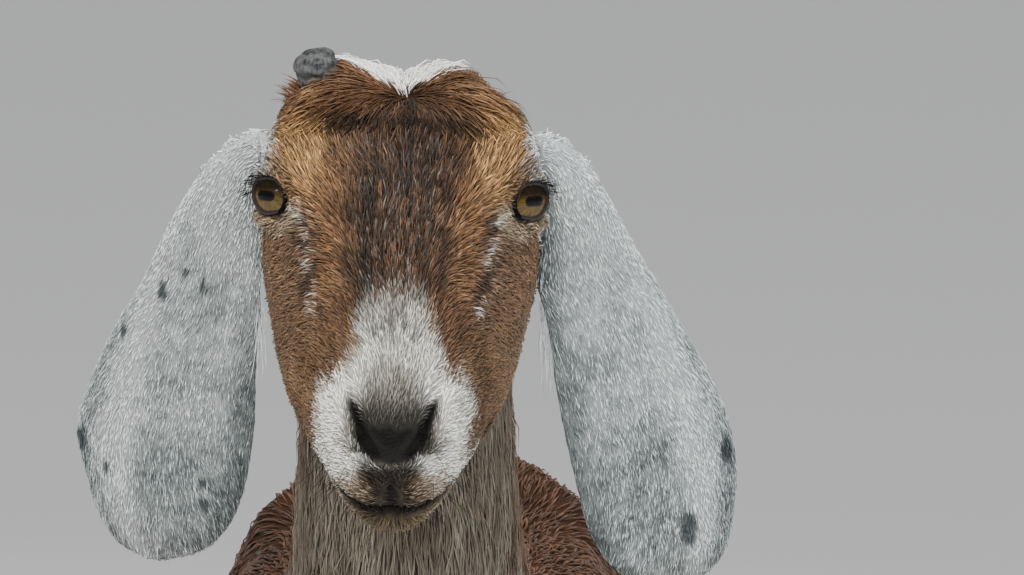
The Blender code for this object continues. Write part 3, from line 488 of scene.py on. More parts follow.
def relax(made, rounds, above=None):
    """Smooths away voxel steps without shrinking: each round draws points in, then pushes them out.

    With a height given, only the trunk above it moves, and not the top of the neck."""
    points = points_of(made)
    height = points[:, 2:3]
    free = 1.0
    if above is not None:
        free = smooth_step(above, above + 0.04, height) * (1 - smooth_step(0.76, 0.84, height))
    edges = np.empty(len(made.data.edges) * 2, int)
    made.data.edges.foreach_get("vertices", edges)
    a, b = edges[0::2], edges[1::2]
    count = np.bincount(edges, minlength=len(points))[:, None]
    for turn in range(2 * rounds):
        total = np.empty_like(points)
        for k in range(3):
            total[:, k] = (np.bincount(a, points[b, k], len(points))
                           + np.bincount(b, points[a, k], len(points)))
        points = points + free * (0.5 if turn % 2 == 0 else -0.505) * (total / count - points)
    set_points(made, points)


def thin_out(made, triangles):
    """Decimates to about this many triangles."""
    now = sum(len(face.vertices) - 2 for face in made.data.polygons)
    step = made.modifiers.new("fewer", "DECIMATE")
    step.ratio = min(1.0, triangles / now)
    step.use_collapse_triangulate = True
    settle(made)


def boolean(made, other, operation):
    """Joins or takes away the other object, which is then removed."""
    step = made.modifiers.new("cut", "BOOLEAN")
    step.operation = operation
    step.solver = "MANIFOLD"
    step.object = other
    settle(made)
    bpy.data.objects.remove(other)


def keep_largest(made):
    """Keeps only the closed surface with the most volume, which drops scraps and fills sealed hollows."""
    work = bmesh.new()
    work.from_mesh(made.data)
    bmesh.ops.remove_doubles(work, verts=work.verts, dist=1e-6)
    bmesh.ops.dissolve_degenerate(work, edges=work.edges, dist=2e-6)
    bmesh.ops.triangulate(work, faces=work.faces)
    seen, groups = set(), []
    for face in work.faces:
        if face in seen:
            continue
        seen.add(face)
        group, edge_faces = [], [face]
        while edge_faces:
            here = edge_faces.pop()
            group.append(here)
            for edge in here.edges:
                for other in edge.link_faces:
                    if other not in seen:
                        seen.add(other)
                        edge_faces.append(other)
        groups.append(group)

    def volume(group):
        return abs(sum(f.verts[0].co.dot(f.verts[1].co.cross(f.verts[2].co)) for f in group))

    groups.sort(key=volume)
    drop = [face for group in groups[:-1] for face in group]
    bmesh.ops.delete(work, geom=drop, context="FACES")
    work.to_mesh(made.data)
    work.free()


def halved(made, point, normal):
    """Keeps what lies behind the plane and closes the cut."""
    work = bmesh.new()
    work.from_mesh(made.data)
    everything = list(work.verts) + list(work.edges) + list(work.faces)
    bmesh.ops.bisect_plane(work, geom=everything, dist=1e-7, plane_co=point, plane_no=normal,
                           clear_outer=True)
    rim = [edge for edge in work.edges if edge.is_boundary]
    bmesh.ops.triangle_fill(work, edges=rim, use_beauty=True, use_dissolve=False)
    outwards(work)
    work.to_mesh(made.data)
    work.free()


def swollen(points, normals, forms):
    """Pushes the surface out, or in, round each place and its mirror image."""
    for x, y, z, reach, height in forms:
        for side in ((1, -1) if x else (1,)):
            away = np.linalg.norm(points - np.array((side * x, y, z)), axis=1)
            points = points + normals * (height * bump(away, reach))[:, None]
    return points


def to_polyline(points, path):
    """Distance from each point to a line through a few places."""
    best = np.full(len(points), np.inf)
    for a, b in zip(path[:-1], path[1:]):
        a, b = np.array(a), np.array(b)
        t = np.clip((points - a) @ (b - a) / ((b - a) @ (b - a)), 0, 1)
        best = np.minimum(best, np.linalg.norm(points - (a + t[:, None] * (b - a)), axis=1))
    return best


def on_side(place, side):
    """A place or way of the goat's left side, mirrored where the side is -1."""
    return place * np.array((side, 1, 1))


def eye_axes(side):
    """The eye's look, the line between the corners of the lids, and the line across them."""
    look = unit(on_side(EYE_LOOK, side))
    along = unit(np.array((0, 1.0, 0)) - look * look[1])
    across = unit(np.cross(along, look))
    if across[2] < 0:
        across = -across
    turned = math.cos(LID_TILT) * along - math.sin(LID_TILT) * across
    return look, unit(turned), unit(math.cos(LID_TILT) * across + math.sin(LID_TILT) * along)


def with_lids(points):
    """Draws the skin round each eye in to the ball: a hole of almond shape with a thick rim."""
    for side in (1, -1):
        centre = on_side(EYE_CENTRE, side)
        look, along, across = eye_axes(side)
        away = points - centre
        radius = np.linalg.norm(away, axis=1)
        u, v, out = away @ along, away @ across + LID_DROP, away @ look
        rho = np.sqrt((u / LID_HALF_LENGTH) ** 2 + (v / LID_HALF_HEIGHT) ** 2)
        inside = EYE_RADIUS - 2.5 * MM
        rim = EYE_RADIUS + 2.0 * MM
        wanted = inside + (rim - inside) * smooth_step(0.80, 1.15, rho)
        share = (1 - smooth_step(1.35, 2.3, rho)) * (out > 0.002) * (radius < 2.2 * EYE_RADIUS)
        moved = centre + away / radius[:, None] * wanted[:, None]
        points = points + (moved - points) * share[:, None]
    return points


def mouth_height(a):
    """The height of the line of the mouth at places along the face, rising from the corner to the front."""
    return MOUTH_CORNER + (MOUTH_FRONT - MOUTH_CORNER) * smooth_step(MOUTH_BACK, 0.135, a)


def carve_head(made):
    """Brow, cheeks, nostrils, the line of the mouth and the lids, worked in the head's frame."""
    points = world_to_head(points_of(made))
    normals = world_to_head(normals_of(made) + EYES_MIDDLE)
    points = swollen(points, normals, HEAD_FORMS)
    x, a, b = points.T
    line = mouth_height(a)
    ahead = smooth_step(MOUTH_BACK - 0.003, MOUTH_BACK + 0.006, a)
    under = smooth_step(0.0, 0.014, line - b) * smooth_step(0.060, 0.110, a)
    points = points * np.stack([1 - CHIN_NARROWING * under, np.ones_like(a), np.ones_like(a)], -1)
    points = points - normals * (3.2 * MM * ahead * bump(b - line, 0.0021))[:, None]
    points = points + normals * (1.2 * MM * ahead * bump(b - line + 0.006, 0.004))[:, None]
    philtrum = bump(x, 0.0016) * smooth_step(-0.050, -0.044, b) * (1 - smooth_step(-0.024, -0.016, b))
    philtrum = philtrum * (a > 0.1)
    points = points - normals * (1.4 * MM * philtrum)[:, None]
    away = to_polyline(np.abs(points) * (1, 0, 0) + points * (0, 1, 1), NOSTRIL)
    inwards = unit(np.array((0.0, -1.0, -0.25)))
    points = points + normals * (1.6 * MM * bump(away - 0.0066, 0.0028))[:, None]
    points = points + inwards * (8.0 * MM * bump(away, 0.0032))[:, None]
    set_points(made, head_to_world(with_lids(points)))


def ear_leaf(table, at):
    """An ear's leaf at places counted in rows of its table: its middle line, the way of its width, its
    half width, and how far it has turned from upright (0) to hanging (1)."""
    out, drop, half, tilt = through(np.arange(len(table)), np.array(table), at).T
    down = smooth_step(*EAR_TURN, at)
    yaw, tilt = EAR_YAW * down, np.radians(tilt)
    centre = np.stack([out, EAR_BASE_Y - EAR_SWING * at / at[-1], EYES_MIDDLE[2] - drop], -1)
    across = np.stack([np.cos(tilt) * np.cos(yaw), np.cos(tilt) * np.sin(yaw), np.sin(tilt)], -1)
    return centre, across, np.maximum(half, 0.003) / np.cos(yaw), down


def ear_crown(u):
    """How high the leaf's middle face stands at u across it: 1 on the ridge, falling with the square of
    the distance to 0 at both margins."""
    away = u - EAR_RIDGE
    return 1 - (away / np.where(away > 0, 1 - EAR_RIDGE, 1 + EAR_RIDGE)) ** 2


def ear_rings(table, side, rows, around, thickness=EAR_THICKNESS):
    """Rings round a long cupped leaf: its width turns from upright at the root to level below."""
    at = np.linspace(0, len(table) - 1, rows)
    centre, across, half, down = ear_leaf(table, at)
    run = unit(np.gradient(centre, axis=0))
    face = unit(np.cross(run, across))
    angle = np.linspace(0, 2 * np.pi, around, endpoint=False)[None, :]
    u, through_wall = np.cos(angle), np.sin(angle)
    cup = (EAR_CUP[0] - EAR_CUP[1] * down - 0.10 * smooth_step(8, 11, at))[:, None]
    wall = thickness / 2 * through_wall * (1 + 0.5 * (1 - down[:, None]))
    lift = half[:, None] * cup * (ear_crown(u) - EAR_CUP_LEVEL) + wall
    rings = (centre[:, None, :] + across[:, None, :] * (half[:, None] * u)[..., None]
             + face[:, None, :] * lift[..., None])
    rings[..., 0] *= side
    return rings


def horn_rings(rows, around):
    """A short blunt stub, a little squashed and ringed."""
    t = np.linspace(0, 1, rows)
    spine = HORN_ROOT + (HORN_TIP - HORN_ROOT) * t[:, None]
    run = unit(HORN_TIP - HORN_ROOT)
    first = unit(np.cross(run, (0, 1, 0)))
    second = np.cross(run, first)
    blunt = np.sqrt(np.clip(1 - np.maximum(t - 0.78, 0) ** 2 / 0.075, 0.05, 1))
    radius = HORN_RADIUS * (1 - 0.22 * t) * blunt * (1 + 0.04 * np.cos(t * 22))
    angle = np.linspace(0, 2 * np.pi, around, endpoint=False)
    lumps = 1 + 0.06 * np.sin(3 * angle + 1)
    ring = (first * np.cos(angle)[:, None] * 1.12 + second * np.sin(angle)[:, None] * 0.95) * lumps[:, None]
    return head_to_world(spine[:, None, :] + ring[None] * radius[:, None, None])


def claw_rings(foot, side, inner, rows, around):
    """One half of the hoof: a flat sole with a pointed toe, drawn in towards the coronet.

    Around the ring the toe end is narrowed and its inner wall is kept straighter."""
    foot_x, foot_y = foot
    level = np.linspace(0, 1, rows)[:, None]
    angle = np.linspace(0, 2 * np.pi, around, endpoint=False)[None, :]
    c, s = rounded(angle, 2.3)
    toe = np.clip(c, 0, 1)
    y = np.where(c > 0, -(CLAW_TOE - CLAW_SETBACK * level) * c, -(CLAW_HEEL - 0.001 * level) * c)
    narrow = 1 - 0.55 * toe ** 2
    x = CLAW_HALF_WIDTH * s * narrow * (1 + 0.06 * (1 - level))
    middle = (CLAW_APART + 0.0012 * toe) * (-1 if inner else 1)
    z = level * (CORONET_Z - CORONET_SLOPE * y - 1.2 * GAP)
    return np.stack([side * (foot_x + middle + x), foot_y + y, z], -1)


def dewclaw_rings(foot_x, y, z, side, inner, rows, around):
    """A small horn peg behind the pastern, pointing down and back."""
    t = np.linspace(0, 1, rows)
    way = unit(np.array((-0.10 if inner else 0.10, 0.42, -0.90)))
    root = np.array((foot_x + (-0.0115 if inner else 0.0115), y, z))
    spine = root + way * (0.017 * t)[:, None]
    first = unit(np.cross(way, (1, 0, 0)))
    second = np.cross(way, first)
    radius = 0.0068 * np.sqrt(np.clip(1 - t ** 2.4, 0.04, 1))
    angle = np.linspace(0, 2 * np.pi, around, endpoint=False)
    ring = first * np.cos(angle)[:, None] * 0.85 + second * np.sin(angle)[:, None]
    points = spine[:, None, :] + ring[None] * radius[:, None, None]
    points[..., 0] *= side
    return points


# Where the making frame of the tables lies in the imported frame: the solids are centred along Y.
FORE_CLAW_LOW = np.array(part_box("fore_hoof_left_inner")[0])
SHIFT = np.array((0.0, FORE_CLAW_LOW[1] + CLAW_TOE - FORE_FOOT[1], 0.0))

RANDOM_SEED = 11


def linear(red, green, blue):
    """A linear colour from the usual 0 to 255 screen values."""
    c = np.array((red, green, blue)) / 255
    return np.where(c <= 0.04045, c / 12.92, ((c + 0.055) / 1.055) ** 2.4)


def mesh_object(name, points, triangles, colours, bake_uv):
    """A smooth object of triangles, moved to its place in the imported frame.

    colours is one per point, kept as the attribute coat; bake_uv is one pair per point."""
    mesh = bpy.data.meshes.new(name)
    count, faces = len(points), len(triangles)
    mesh.vertices.add(count)
    mesh.vertices.foreach_set("co", (points + SHIFT).astype(np.float32).ravel())
    mesh.loops.add(3 * faces)
    mesh.loops.foreach_set("vertex_index", triangles.astype(np.int32).ravel())
    mesh.polygons.add(faces)
    mesh.polygons.foreach_set("loop_start", np.arange(0, 3 * faces, 3, dtype=np.int32))
    mesh.update(calc_edges=True)
    point_colours(mesh, colours)
    layer = mesh.uv_layers.new(name="OFBake")
    layer.uv.foreach_set("vector", bake_uv[triangles.ravel()].astype(np.float32).ravel())
    mesh.polygons.foreach_set("use_smooth", np.ones(faces, dtype=bool))
    made = bpy.data.objects.new(name, mesh)
    bpy.context.collection.objects.link(made)
    return made


def point_colours(mesh, colours):
    """Keeps a colour for each point as the attribute coat."""
    layer = mesh.color_attributes.new("coat", "FLOAT_COLOR", "POINT")
    rgba = np.concatenate([colours, np.ones((len(colours), 1))], 1)
    layer.data.foreach_set("color", rgba.astype(np.float32).ravel())


def triangles_of(made):
    """Points and triangles of an object's mesh, as arrays in the making frame."""
    mesh = made.data
    mesh.calc_loop_triangles()
    flat = np.empty(3 * len(mesh.loop_triangles), np.int32)
    mesh.loop_triangles.foreach_get("vertices", flat)
    return points_of(made), flat.reshape(-1, 3)


def dress(made, slot, *nodes):
    """Seats a piece on the frame: its body, and the nodes that it stands for, which it hides; slot is not
    used.
    """
    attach(made, "root")
    if nodes:
        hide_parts(*nodes)


def noise(points, size, seed):
    """Smooth noise from -1 to 1: a sum of sines whose ways and phases are drawn once from the seed."""
    draw = np.random.default_rng(seed)
    ways = draw.normal(size=(9, 3)) * (1.6 / size)
    phases = draw.uniform(0, 2 * np.pi, 9)
    return np.sin(points @ ways.T + phases).sum(1) / 4.5


def speckle(points):
    """A number from -1 to 1 that jumps from place to place, for marks that break up hair by hair."""
    mess = np.sin(points @ np.array((12989.8, 78233.1, 37719.2))) * 43758.5453
    return 2 * (mess - np.floor(mess)) - 1


def mixed(under, over, share):
    """Lays one colour over another by a share for each point."""
    return under + (over - under) * np.clip(share, 0, 1)[:, None]


# Markings, with the painted light and shade laid among them. The tear line runs from the eye's inner corner:
# to the side, and how low it shows.
TEAR_LINE = ((0.0452, 0.009, 0), (0.0420, 0.017, 0), (0.0410, 0.030, 0), (0.0372, 0.050, 0))
LID_LINE = ((0.0500, 0.0045, 0), (0.0445, 0.0105, 0))     # the pale edge of the groove under that corner
WHORL = np.array((0.0008, -0.0345, 0.0385))        # where the poll's hair parts, in the head's frame
CREASE_A = -0.013                  # where the poll's falling hair meets the forehead's rising hair
FACE_DOWN = np.array((0, 0.766, -0.643))     # what shows as straight down on the face, in the head's frame
# Dark spots on the left and the right ear: out from the midline, below the eyes, radius.
EAR_SPOTS = {
    1: ((0.1492, 0.1186, 0.0026), (0.1312, 0.1519, 0.0038)),
    -1: (
        (0.1097, 0.0430, 0.0023),
        (0.0903, 0.0407, 0.0018),
        (0.1285, 0.0628, 0.0013),
        (0.1496, 0.1146, 0.0026),
        (0.1361, 0.1249, 0.0014),
        (0.0903, 0.1281, 0.0016),
        (0.0893, 0.1389, 0.0018),
        (0.1186, 0.0317, 0.0012),
        (0.0990, 0.0350, 0.0013),
    ),
}
# Colours of the coat and of bare skin.
RED_BROWN = linear(88, 62, 43)
DARK_BROWN = linear(40, 31, 26)
TAN = linear(158, 122, 79)
OCHRE = linear(132, 97, 63)
FROST = linear(250, 248, 238)
GREY_WHITE = linear(206, 206, 198)
NOSE_GREY = linear(122, 116, 105)
PAD = linear(14, 12, 11)
LIP = linear(160, 144, 120)
CHIN = linear(80, 66, 42)
LID = linear(42, 36, 33)
CHEEK = linear(140, 109, 80)
EAR_LIGHT = linear(238, 247, 247)
EAR_DARK = linear(92, 104, 106)
EAR_SPOT = linear(66, 75, 78)
ROAN_LIGHT = linear(160, 151, 136)
ROAN_DARK = linear(96, 84, 70)
BODY_BROWN = linear(98, 68, 49)
BODY_DARK = linear(52, 37, 28)
LEG_BROWN = linear(56, 41, 33)
WHITE_HAIR = linear(250, 249, 244)


def shown_low(local):
    """How low a place of the head's frame shows on the face, seen from in front."""
    return FACE_DOWN[1] * local[:, 1] + FACE_DOWN[2] * local[:, 2]


def spot(side, low, at, size):
    """1 in the middle of an oval on the face, 0 outside it, with a soft edge."""
    return 1 - smooth_step(0.70, 1.30, np.hypot((side - at[0]) / size[0], (low - at[1]) / size[1]))


def band(value, low, high, soft):
    """1 between low and high, with soft edges."""
    return smooth_step(low - soft, low + soft, value) * (1 - smooth_step(high - soft, high + soft, value))


class Face:
    """What the markings of the face are read from: how far to the side and how low places show, the same
    two with ragged edges, the noises that break them up hair by hair, and the round of the eyes."""

    def __init__(self, points):
        self.local = world_to_head(points)
        self.x, self.a, self.b = self.local.T
        self.side, self.low = np.abs(self.x), shown_low(self.local)
        self.broken = speckle(points)
        self.streak = noise(np.stack([self.x, 0.22 * self.low, 0 * self.x], 1), 0.0045, 3)
        self.rough = noise(self.local, 0.011, 4)
        self.fine = noise(np.stack([self.x, 0.35 * self.low, 0 * self.x], 1), 0.0020, 5)
        self.edge = self.side + 0.0022 * self.rough + 0.0028 * self.broken
        self.level = self.low + 0.004 * self.rough + 0.0060 * self.broken
        self.rho, self.high, self.near = round_eye(self.local)

    def to_line(self, line):
        """Distance to a line that is given by side and by how low it shows."""
        return to_polyline(np.stack([self.side, self.low, 0 * self.x], 1), line)


def forehead_layers(f):
    """A dark middle of the forehead, tan above the eyes running on as a stripe beside the nose, and
    paler cheeks over painted shade under the jaw."""
    cheek = smooth_step(0.036, 0.048, f.edge) * smooth_step(0.000, 0.030, f.low)
    pale_jaw = smooth_step(0.040, 0.070, f.low) * smooth_step(0.026, 0.034, f.edge)
    middle = (1 - smooth_step(0.016, 0.027, f.edge)) * band(f.level, -0.030, 0.046, 0.008)
    patch = spot(f.edge, f.level, (0.0445, -0.019), (0.0140, 0.0235))
    stripe = bump(f.edge - np.interp(f.low, (-0.01, 0.045), (0.0325, 0.0352)), 0.0065)
    stripe = stripe * band(f.level, -0.012, 0.050, 0.008)
    return (
        (DARK_BROWN, 0.65 * smooth_step(0.1, 1.1, f.streak + 0.5 * f.broken)),
        (CHEEK, 0.65 * cheek),
        (CHIN * 1.5, 0.40 * pale_jaw * smooth_step(-0.5, 0.6, f.broken)),
        # painted shade under the jaw
        (DARK_BROWN, 0.75 * smooth_step(-0.060, -0.078, f.b) * (f.a < 0.098)),
        (DARK_BROWN * 0.8, 0.88 * middle * smooth_step(-1.2, 0.1, f.broken + 0.5 * f.streak)),
        (GREY_WHITE * 0.5, 0.25 * middle * smooth_step(0.6, 1.0, f.broken)),
        (TAN, 0.95 * patch),
        (OCHRE, 0.85 * stripe),
    )


def blaze_layers(f):
    """A pale blaze that widens to a white muzzle round a grey bridge, and pale tear marks."""
    half = np.interp(f.low, (0.020, 0.033, 0.045, 0.057, 0.068, 0.079, 0.090, 0.101),
                     (0.007, 0.0105, 0.0135, 0.0165, 0.0200, 0.0225, 0.0275, 0.031))
    blaze = (1 - smooth_step(half - 0.0045, half + 0.0035, f.edge)) * smooth_step(0.030, 0.057, f.level)
    blaze = blaze * (1 - smooth_step(0.114, 0.124, f.low)) * (f.b > -0.055)
    core = (1 - smooth_step(0.008, 0.018, f.edge)) * (1 - smooth_step(0.058, 0.072, f.level))
    white = band(f.edge, 0.0150, 0.0330, 0.004) * band(f.level, 0.080, 0.125, 0.006) * (f.b > -0.052)
    bridge = (1 - smooth_step(0.008, 0.017, f.edge)) * band(f.level, 0.073, 0.100, 0.008)
    tear = f.to_line(TEAR_LINE)
    tear_edge = bump(tear + 0.0010, 0.0034) * smooth_step(0.1, 0.9, f.fine + 0.8 * f.broken)
    return (
        (GREY_WHITE, blaze * (0.92 + 0.08 * f.fine)),
        (DARK_BROWN, 0.75 * blaze * core * smooth_step(-0.7, 0.4, f.broken + f.fine)),
        (FROST, white),
        (NOSE_GREY * 0.9, 0.85 * bridge * (0.85 + 0.3 * f.fine)),
        (LID, 0.75 * bump(tear, 0.0060) * smooth_step(0.3, -0.3, f.fine + 0.4 * f.broken)),
        (GREY_WHITE, 0.80 * tear_edge),
    )


def muzzle_layers(f):
    """Buff lips, dark between them and on the chin, painted shade along the line of the mouth, and the bare
    black pad with painted shade deep in the nostrils."""
    lips = smooth_step(0.118, 0.136, f.level) * (f.a > 0.06) * (f.b > -0.062)
    rusty = spot(f.edge, f.level, (0.0195, 0.1045), (0.0050, 0.0080))
    inner = (1 - smooth_step(0.008, 0.017, f.edge)) * band(f.level, 0.110, 0.138, 0.004)
    off_mouth = f.b - mouth_height(f.a)
    centre = 1 - smooth_step(0.006, 0.022, f.side)
    # painted shade in the groove along the line of the mouth
    mouth = bump(off_mouth, 0.0022 + 0.0016 * centre) * smooth_step(0.074, 0.080, f.a)
    above_pad = smooth_step(0.076, 0.097, f.low + 0.3 * (f.level - f.low)) * (f.low < 0.112)
    nostril = to_polyline(np.stack([f.side, f.a, f.b], 1), NOSTRIL)
    open_part = smooth_step(0.084, 0.092, f.low)
    pad_edge = bump(f.low - 0.1163 - 0.002 * bump(f.side, 0.004), 0.0010) * (f.side < 0.0085)
    return (
        (LIP, lips * (0.85 + 0.15 * f.broken)),
        (CHIN, 0.60 * rusty),
        (DARK_BROWN * 0.6, 0.90 * inner),
        (CHIN, 0.85 * smooth_step(0.137, 0.143, f.low) * (f.a > 0.07)),
        (CHIN * 0.6, 0.8 * bump(off_mouth, 0.0050) * smooth_step(0.078, 0.088, f.a)),
        # painted shade along the mouth's line
        (DARK_BROWN * 0.3, mouth),
        (NOSE_GREY * 0.20, 0.97 * (1 - smooth_step(0.014, 0.021, f.edge)) * above_pad),
        (PAD * 1.8, 0.9 * bump(nostril, 0.0052) * open_part),
        (PAD, bare_share(f.local)),
        (NOSE_GREY * 0.45, 0.8 * pad_edge),
        # painted shade deep in the nostrils
        (PAD * 0.3, bump(nostril, 0.0030) * open_part),
    )


def eye_layers(f):
    """Round each eye a dark rim, a dark brow over it and a buff edge under it, with a pale line along
    the groove that runs from the inner corner."""
    pale = band(f.rho, 1.45, 2.4, 0.35) * f.near * smooth_step(-0.002, 0.004, f.high)
    under = band(f.rho, 1.15, 2.3, 0.20) * f.near * smooth_step(0.001, -0.004, f.high)
    brow = band(f.rho, 1.20, 2.1, 0.25) * f.near * smooth_step(0.003, 0.008, f.high)
    return (
        (GREY_WHITE * 0.75, 0.4 * pale * smooth_step(0.050, 0.056, f.side)),
        (FROST * 0.8, 0.8 * bump(f.to_line(LID_LINE), 0.0011)),
        (LIP, 0.7 * under),
        (LID, 0.65 * brow * smooth_step(-0.7, 0.4, f.broken)),
        (LID, 0.85 * (1 - smooth_step(1.12, 1.36, f.rho + 0.10 * f.broken)) * f.near),
        (PAD * 0.5, (1 - smooth_step(1.02, 1.12, f.rho)) * f.near),
    )


def poll_layers(f):
    """White at the roots of the ears, brown above the eyes, painted shadow in the crease before the poll with
    painted shade above it, a dark nape, and the white fan."""
    root = smooth_step(0.0560, 0.0615, f.edge) * band(f.level, -0.042, 0.016, 0.005) * (f.a < 0.002)
    over_eye = band(f.rho, 1.10, 2.5, 0.35) * f.near * smooth_step(0.002, 0.007, f.high)
    on_top = f.b > 0.015
    # painted shadow in the crease before the poll, and painted shade over the band just above it
    crease = bump(f.low + 0.0350 + 2.0 * f.side ** 2, 0.0035) * (1 - smooth_step(0.026, 0.038, f.side))
    shade = band(f.low, -0.050, -0.036, 0.004) * (1 - smooth_step(0.015, 0.035, f.side)) * on_top
    return (
        (EAR_LIGHT * 0.9, root),
        (CHEEK * 0.8, 0.75 * over_eye * smooth_step(0.047, 0.053, f.side)),
        # painted shadow of the crease, then painted shade above it
        (DARK_BROWN * 0.5, 0.9 * crease * on_top),
        (DARK_BROWN, 0.55 * shade * smooth_step(-0.8, 0.6, f.streak + 0.6 * f.broken)),
        (DARK_BROWN, 0.7 * smooth_step(-0.012, -0.050, f.b) * smooth_step(-0.045, -0.070, f.a)),
        (WHITE_HAIR, whorl_fan(f.local)),
    )


def head_colour(points):
    """The colour of the face: red brown and cheek brown mixed, with each marking and each painted shade
    laid over it in turn.
    Most edges break up hair by hair."""
    face = Face(points)
    colour = mixed(RED_BROWN, CHEEK, 0.25 + 0.40 * face.rough + 0.30 * face.broken)
    for layers in (forehead_layers, blaze_layers, muzzle_layers, eye_layers, poll_layers):
        for paint, share in layers(face):
            colour = mixed(colour, paint, share)
    return colour


def bare_share(local):
    """1 where the skin is bare: the pad between the nostrils, narrowing down to the split of the lip."""
    x, a, _ = local.T
    side, low = np.abs(x + 0.0006), shown_low(local)
    half = np.interp(low, (0.098, 0.106, 0.111, 0.115, 0.1175), (0.0165, 0.0158, 0.0125, 0.0086, 0.0040))
    top = 0.0990 + 0.0022 * noise(local * np.array((1, 0.3, 0.3)), 0.0016, 14) + 10.0 * side ** 2
    pad = (1 - smooth_step(half - 0.0012, half + 0.0012, side)) * smooth_step(top - 0.0034, top + 0.0034, low)
    pad = pad * (1 - smooth_step(0.1160, 0.1180, low)) * (a > 0.08)
    split = bump(side, 0.0013) * band(low, 0.112, 0.135, 0.002) * (a > 0.1)
    return np.maximum(pad, split)


def round_eye(local):
    """For places of the head's frame: how many lid openings away from the nearer eye they lie, how high
    over its middle line, and whether they are in front of it."""
    folded = local * np.array((0, 1, 1)) + np.abs(local) * np.array((1, 0, 0))
    look, along, across = eye_axes(1)
    away = folded - EYE_CENTRE
    u, v = away @ along, away @ across + LID_DROP
    rho = np.sqrt((u / LID_HALF_LENGTH) ** 2 + (v / LID_HALF_HEIGHT) ** 2)
    return rho, v - 0.5 * u, (away @ look > 0) & (np.linalg.norm(away, axis=1) < 0.045)


def whorl_fan(local):
    """The white fan on the poll: a point in front, widening backwards to both sides in thin wings that
    lie along the top, with a ragged edge."""
    x, a, b = local.T
    side = np.abs(x - WHORL[0])
    back = WHORL[1] - a - 0.82 * side + 0.0022 * noise(local, 0.004, 9) + 0.0022 * speckle(local)
    reach = np.where(x > 0, 0.0250, 0.0320)
    inside = smooth_step(-0.0006, 0.0012, back) * (1 - smooth_step(reach - 0.004, reach + 0.003, side))
    return inside * (b > 0.0)


def at_height(table, z, column, height=2):
    """A column of a table of girths, read at heights z; height is the column that holds the table's own."""
    t = np.array(table)
    order = np.argsort(t[:, height])
    return np.interp(z, t[order, height], t[order, column])


def neck_back(points):
    """0 at the throat and 1 along the nape: how far behind the neck's own axis a point lies."""
    middle, depth = (at_height(NECK_GIRTHS, points[:, 2], column, 1) for column in (0, 3))
    return np.clip(0.5 + 0.5 * (points[:, 1] - middle) / (depth * 1.15), 0, 1)


def neck_colour(points):
    """Grey roan in long streaks down the neck, brown on the nape."""
    streaks = noise(points * np.array((1, 1, 0.16)), 0.010, 7)
    fine = noise(points * np.array((1, 1, 0.2)), 0.004, 8)
    broken = speckle(points)
    colour = mixed(ROAN_LIGHT, ROAN_DARK, 0.5 + 0.25 * streaks + 0.30 * fine)
    back = neck_back(points) + 0.08 * streaks + 0.14 * broken
    return mixed(colour, BODY_BROWN, smooth_step(0.22, 0.72, back))


def body_colour(points):
    """Brown, darker along the back and down the legs, a little paler below."""
    x, _, z = points.T
    streaks = noise(points * np.array((1, 0.3, 1)), 0.018, 12)
    colour = mixed(BODY_BROWN, BODY_DARK, 0.25 + 0.25 * streaks)
    colour = mixed(colour, BODY_DARK, 0.8 * bump(x, 0.022) * smooth_step(0.66, 0.70, z))
    colour = mixed(colour, CHEEK, 0.35 * smooth_step(0.46, 0.40, z) * (np.abs(x) < 0.09))
    colour = mixed(colour, LEG_BROWN, smooth_step(0.42, 0.26, z))
    return mixed(colour, LEG_BROWN * 0.6, 0.6 * smooth_step(0.12, 0.05, z + 0.02 * streaks))


def ear_spine(side, count=200):
    """The middle line of an ear: places from root to tip, its centres, half widths, run and width way."""
    at = np.linspace(0.5, len(EARS[side]) - 1, count)
    centre, across, half, _ = ear_leaf(EARS[side], at)
    centre = on_side(centre, side)
    return at / at[-1], centre, half, unit(np.gradient(centre, axis=0)), on_side(across, side)


def beside_ear(points, side):
    """For points near an ear: the nearest place of its middle line from root 0 to tip 1, how far across
    the leaf they lie, their offset from that line, and its half width, run and width way there. The
    nearest place is found with one product."""
    t, centre, half, run, across = ear_spine(side)
    near = np.argmin((centre ** 2).sum(1) - 2 * points @ centre.T, axis=1)
    offset = points - centre[near]
    return t[near], (offset * across[near]).sum(1) / half[near], offset, half[near], run[near], across[near]


def ear_place(points, side):
    """Where points lie on an ear: from root 0 to tip 1, from -1 to 1 across the leaf, and the ways along
    it and across it there."""
    t, u, _, _, run, across = beside_ear(points, side)
    return t, np.clip(u, -1.2, 1.2), run, across


def ear_height(points, side):
    """How far points stand out of the leaf's middle face: above 0 outside, below 0 in the cup."""
    t, u, offset, half, run, across = beside_ear(points, side)
    face = unit(np.cross(run, across)) * side
    cup = EAR_CUP[0] - EAR_CUP[1] * smooth_step(*EAR_TURN, t * (len(EARS[side]) - 1))
    return (offset * face).sum(1) - half * cup * (ear_crown(u) - EAR_CUP_LEVEL)


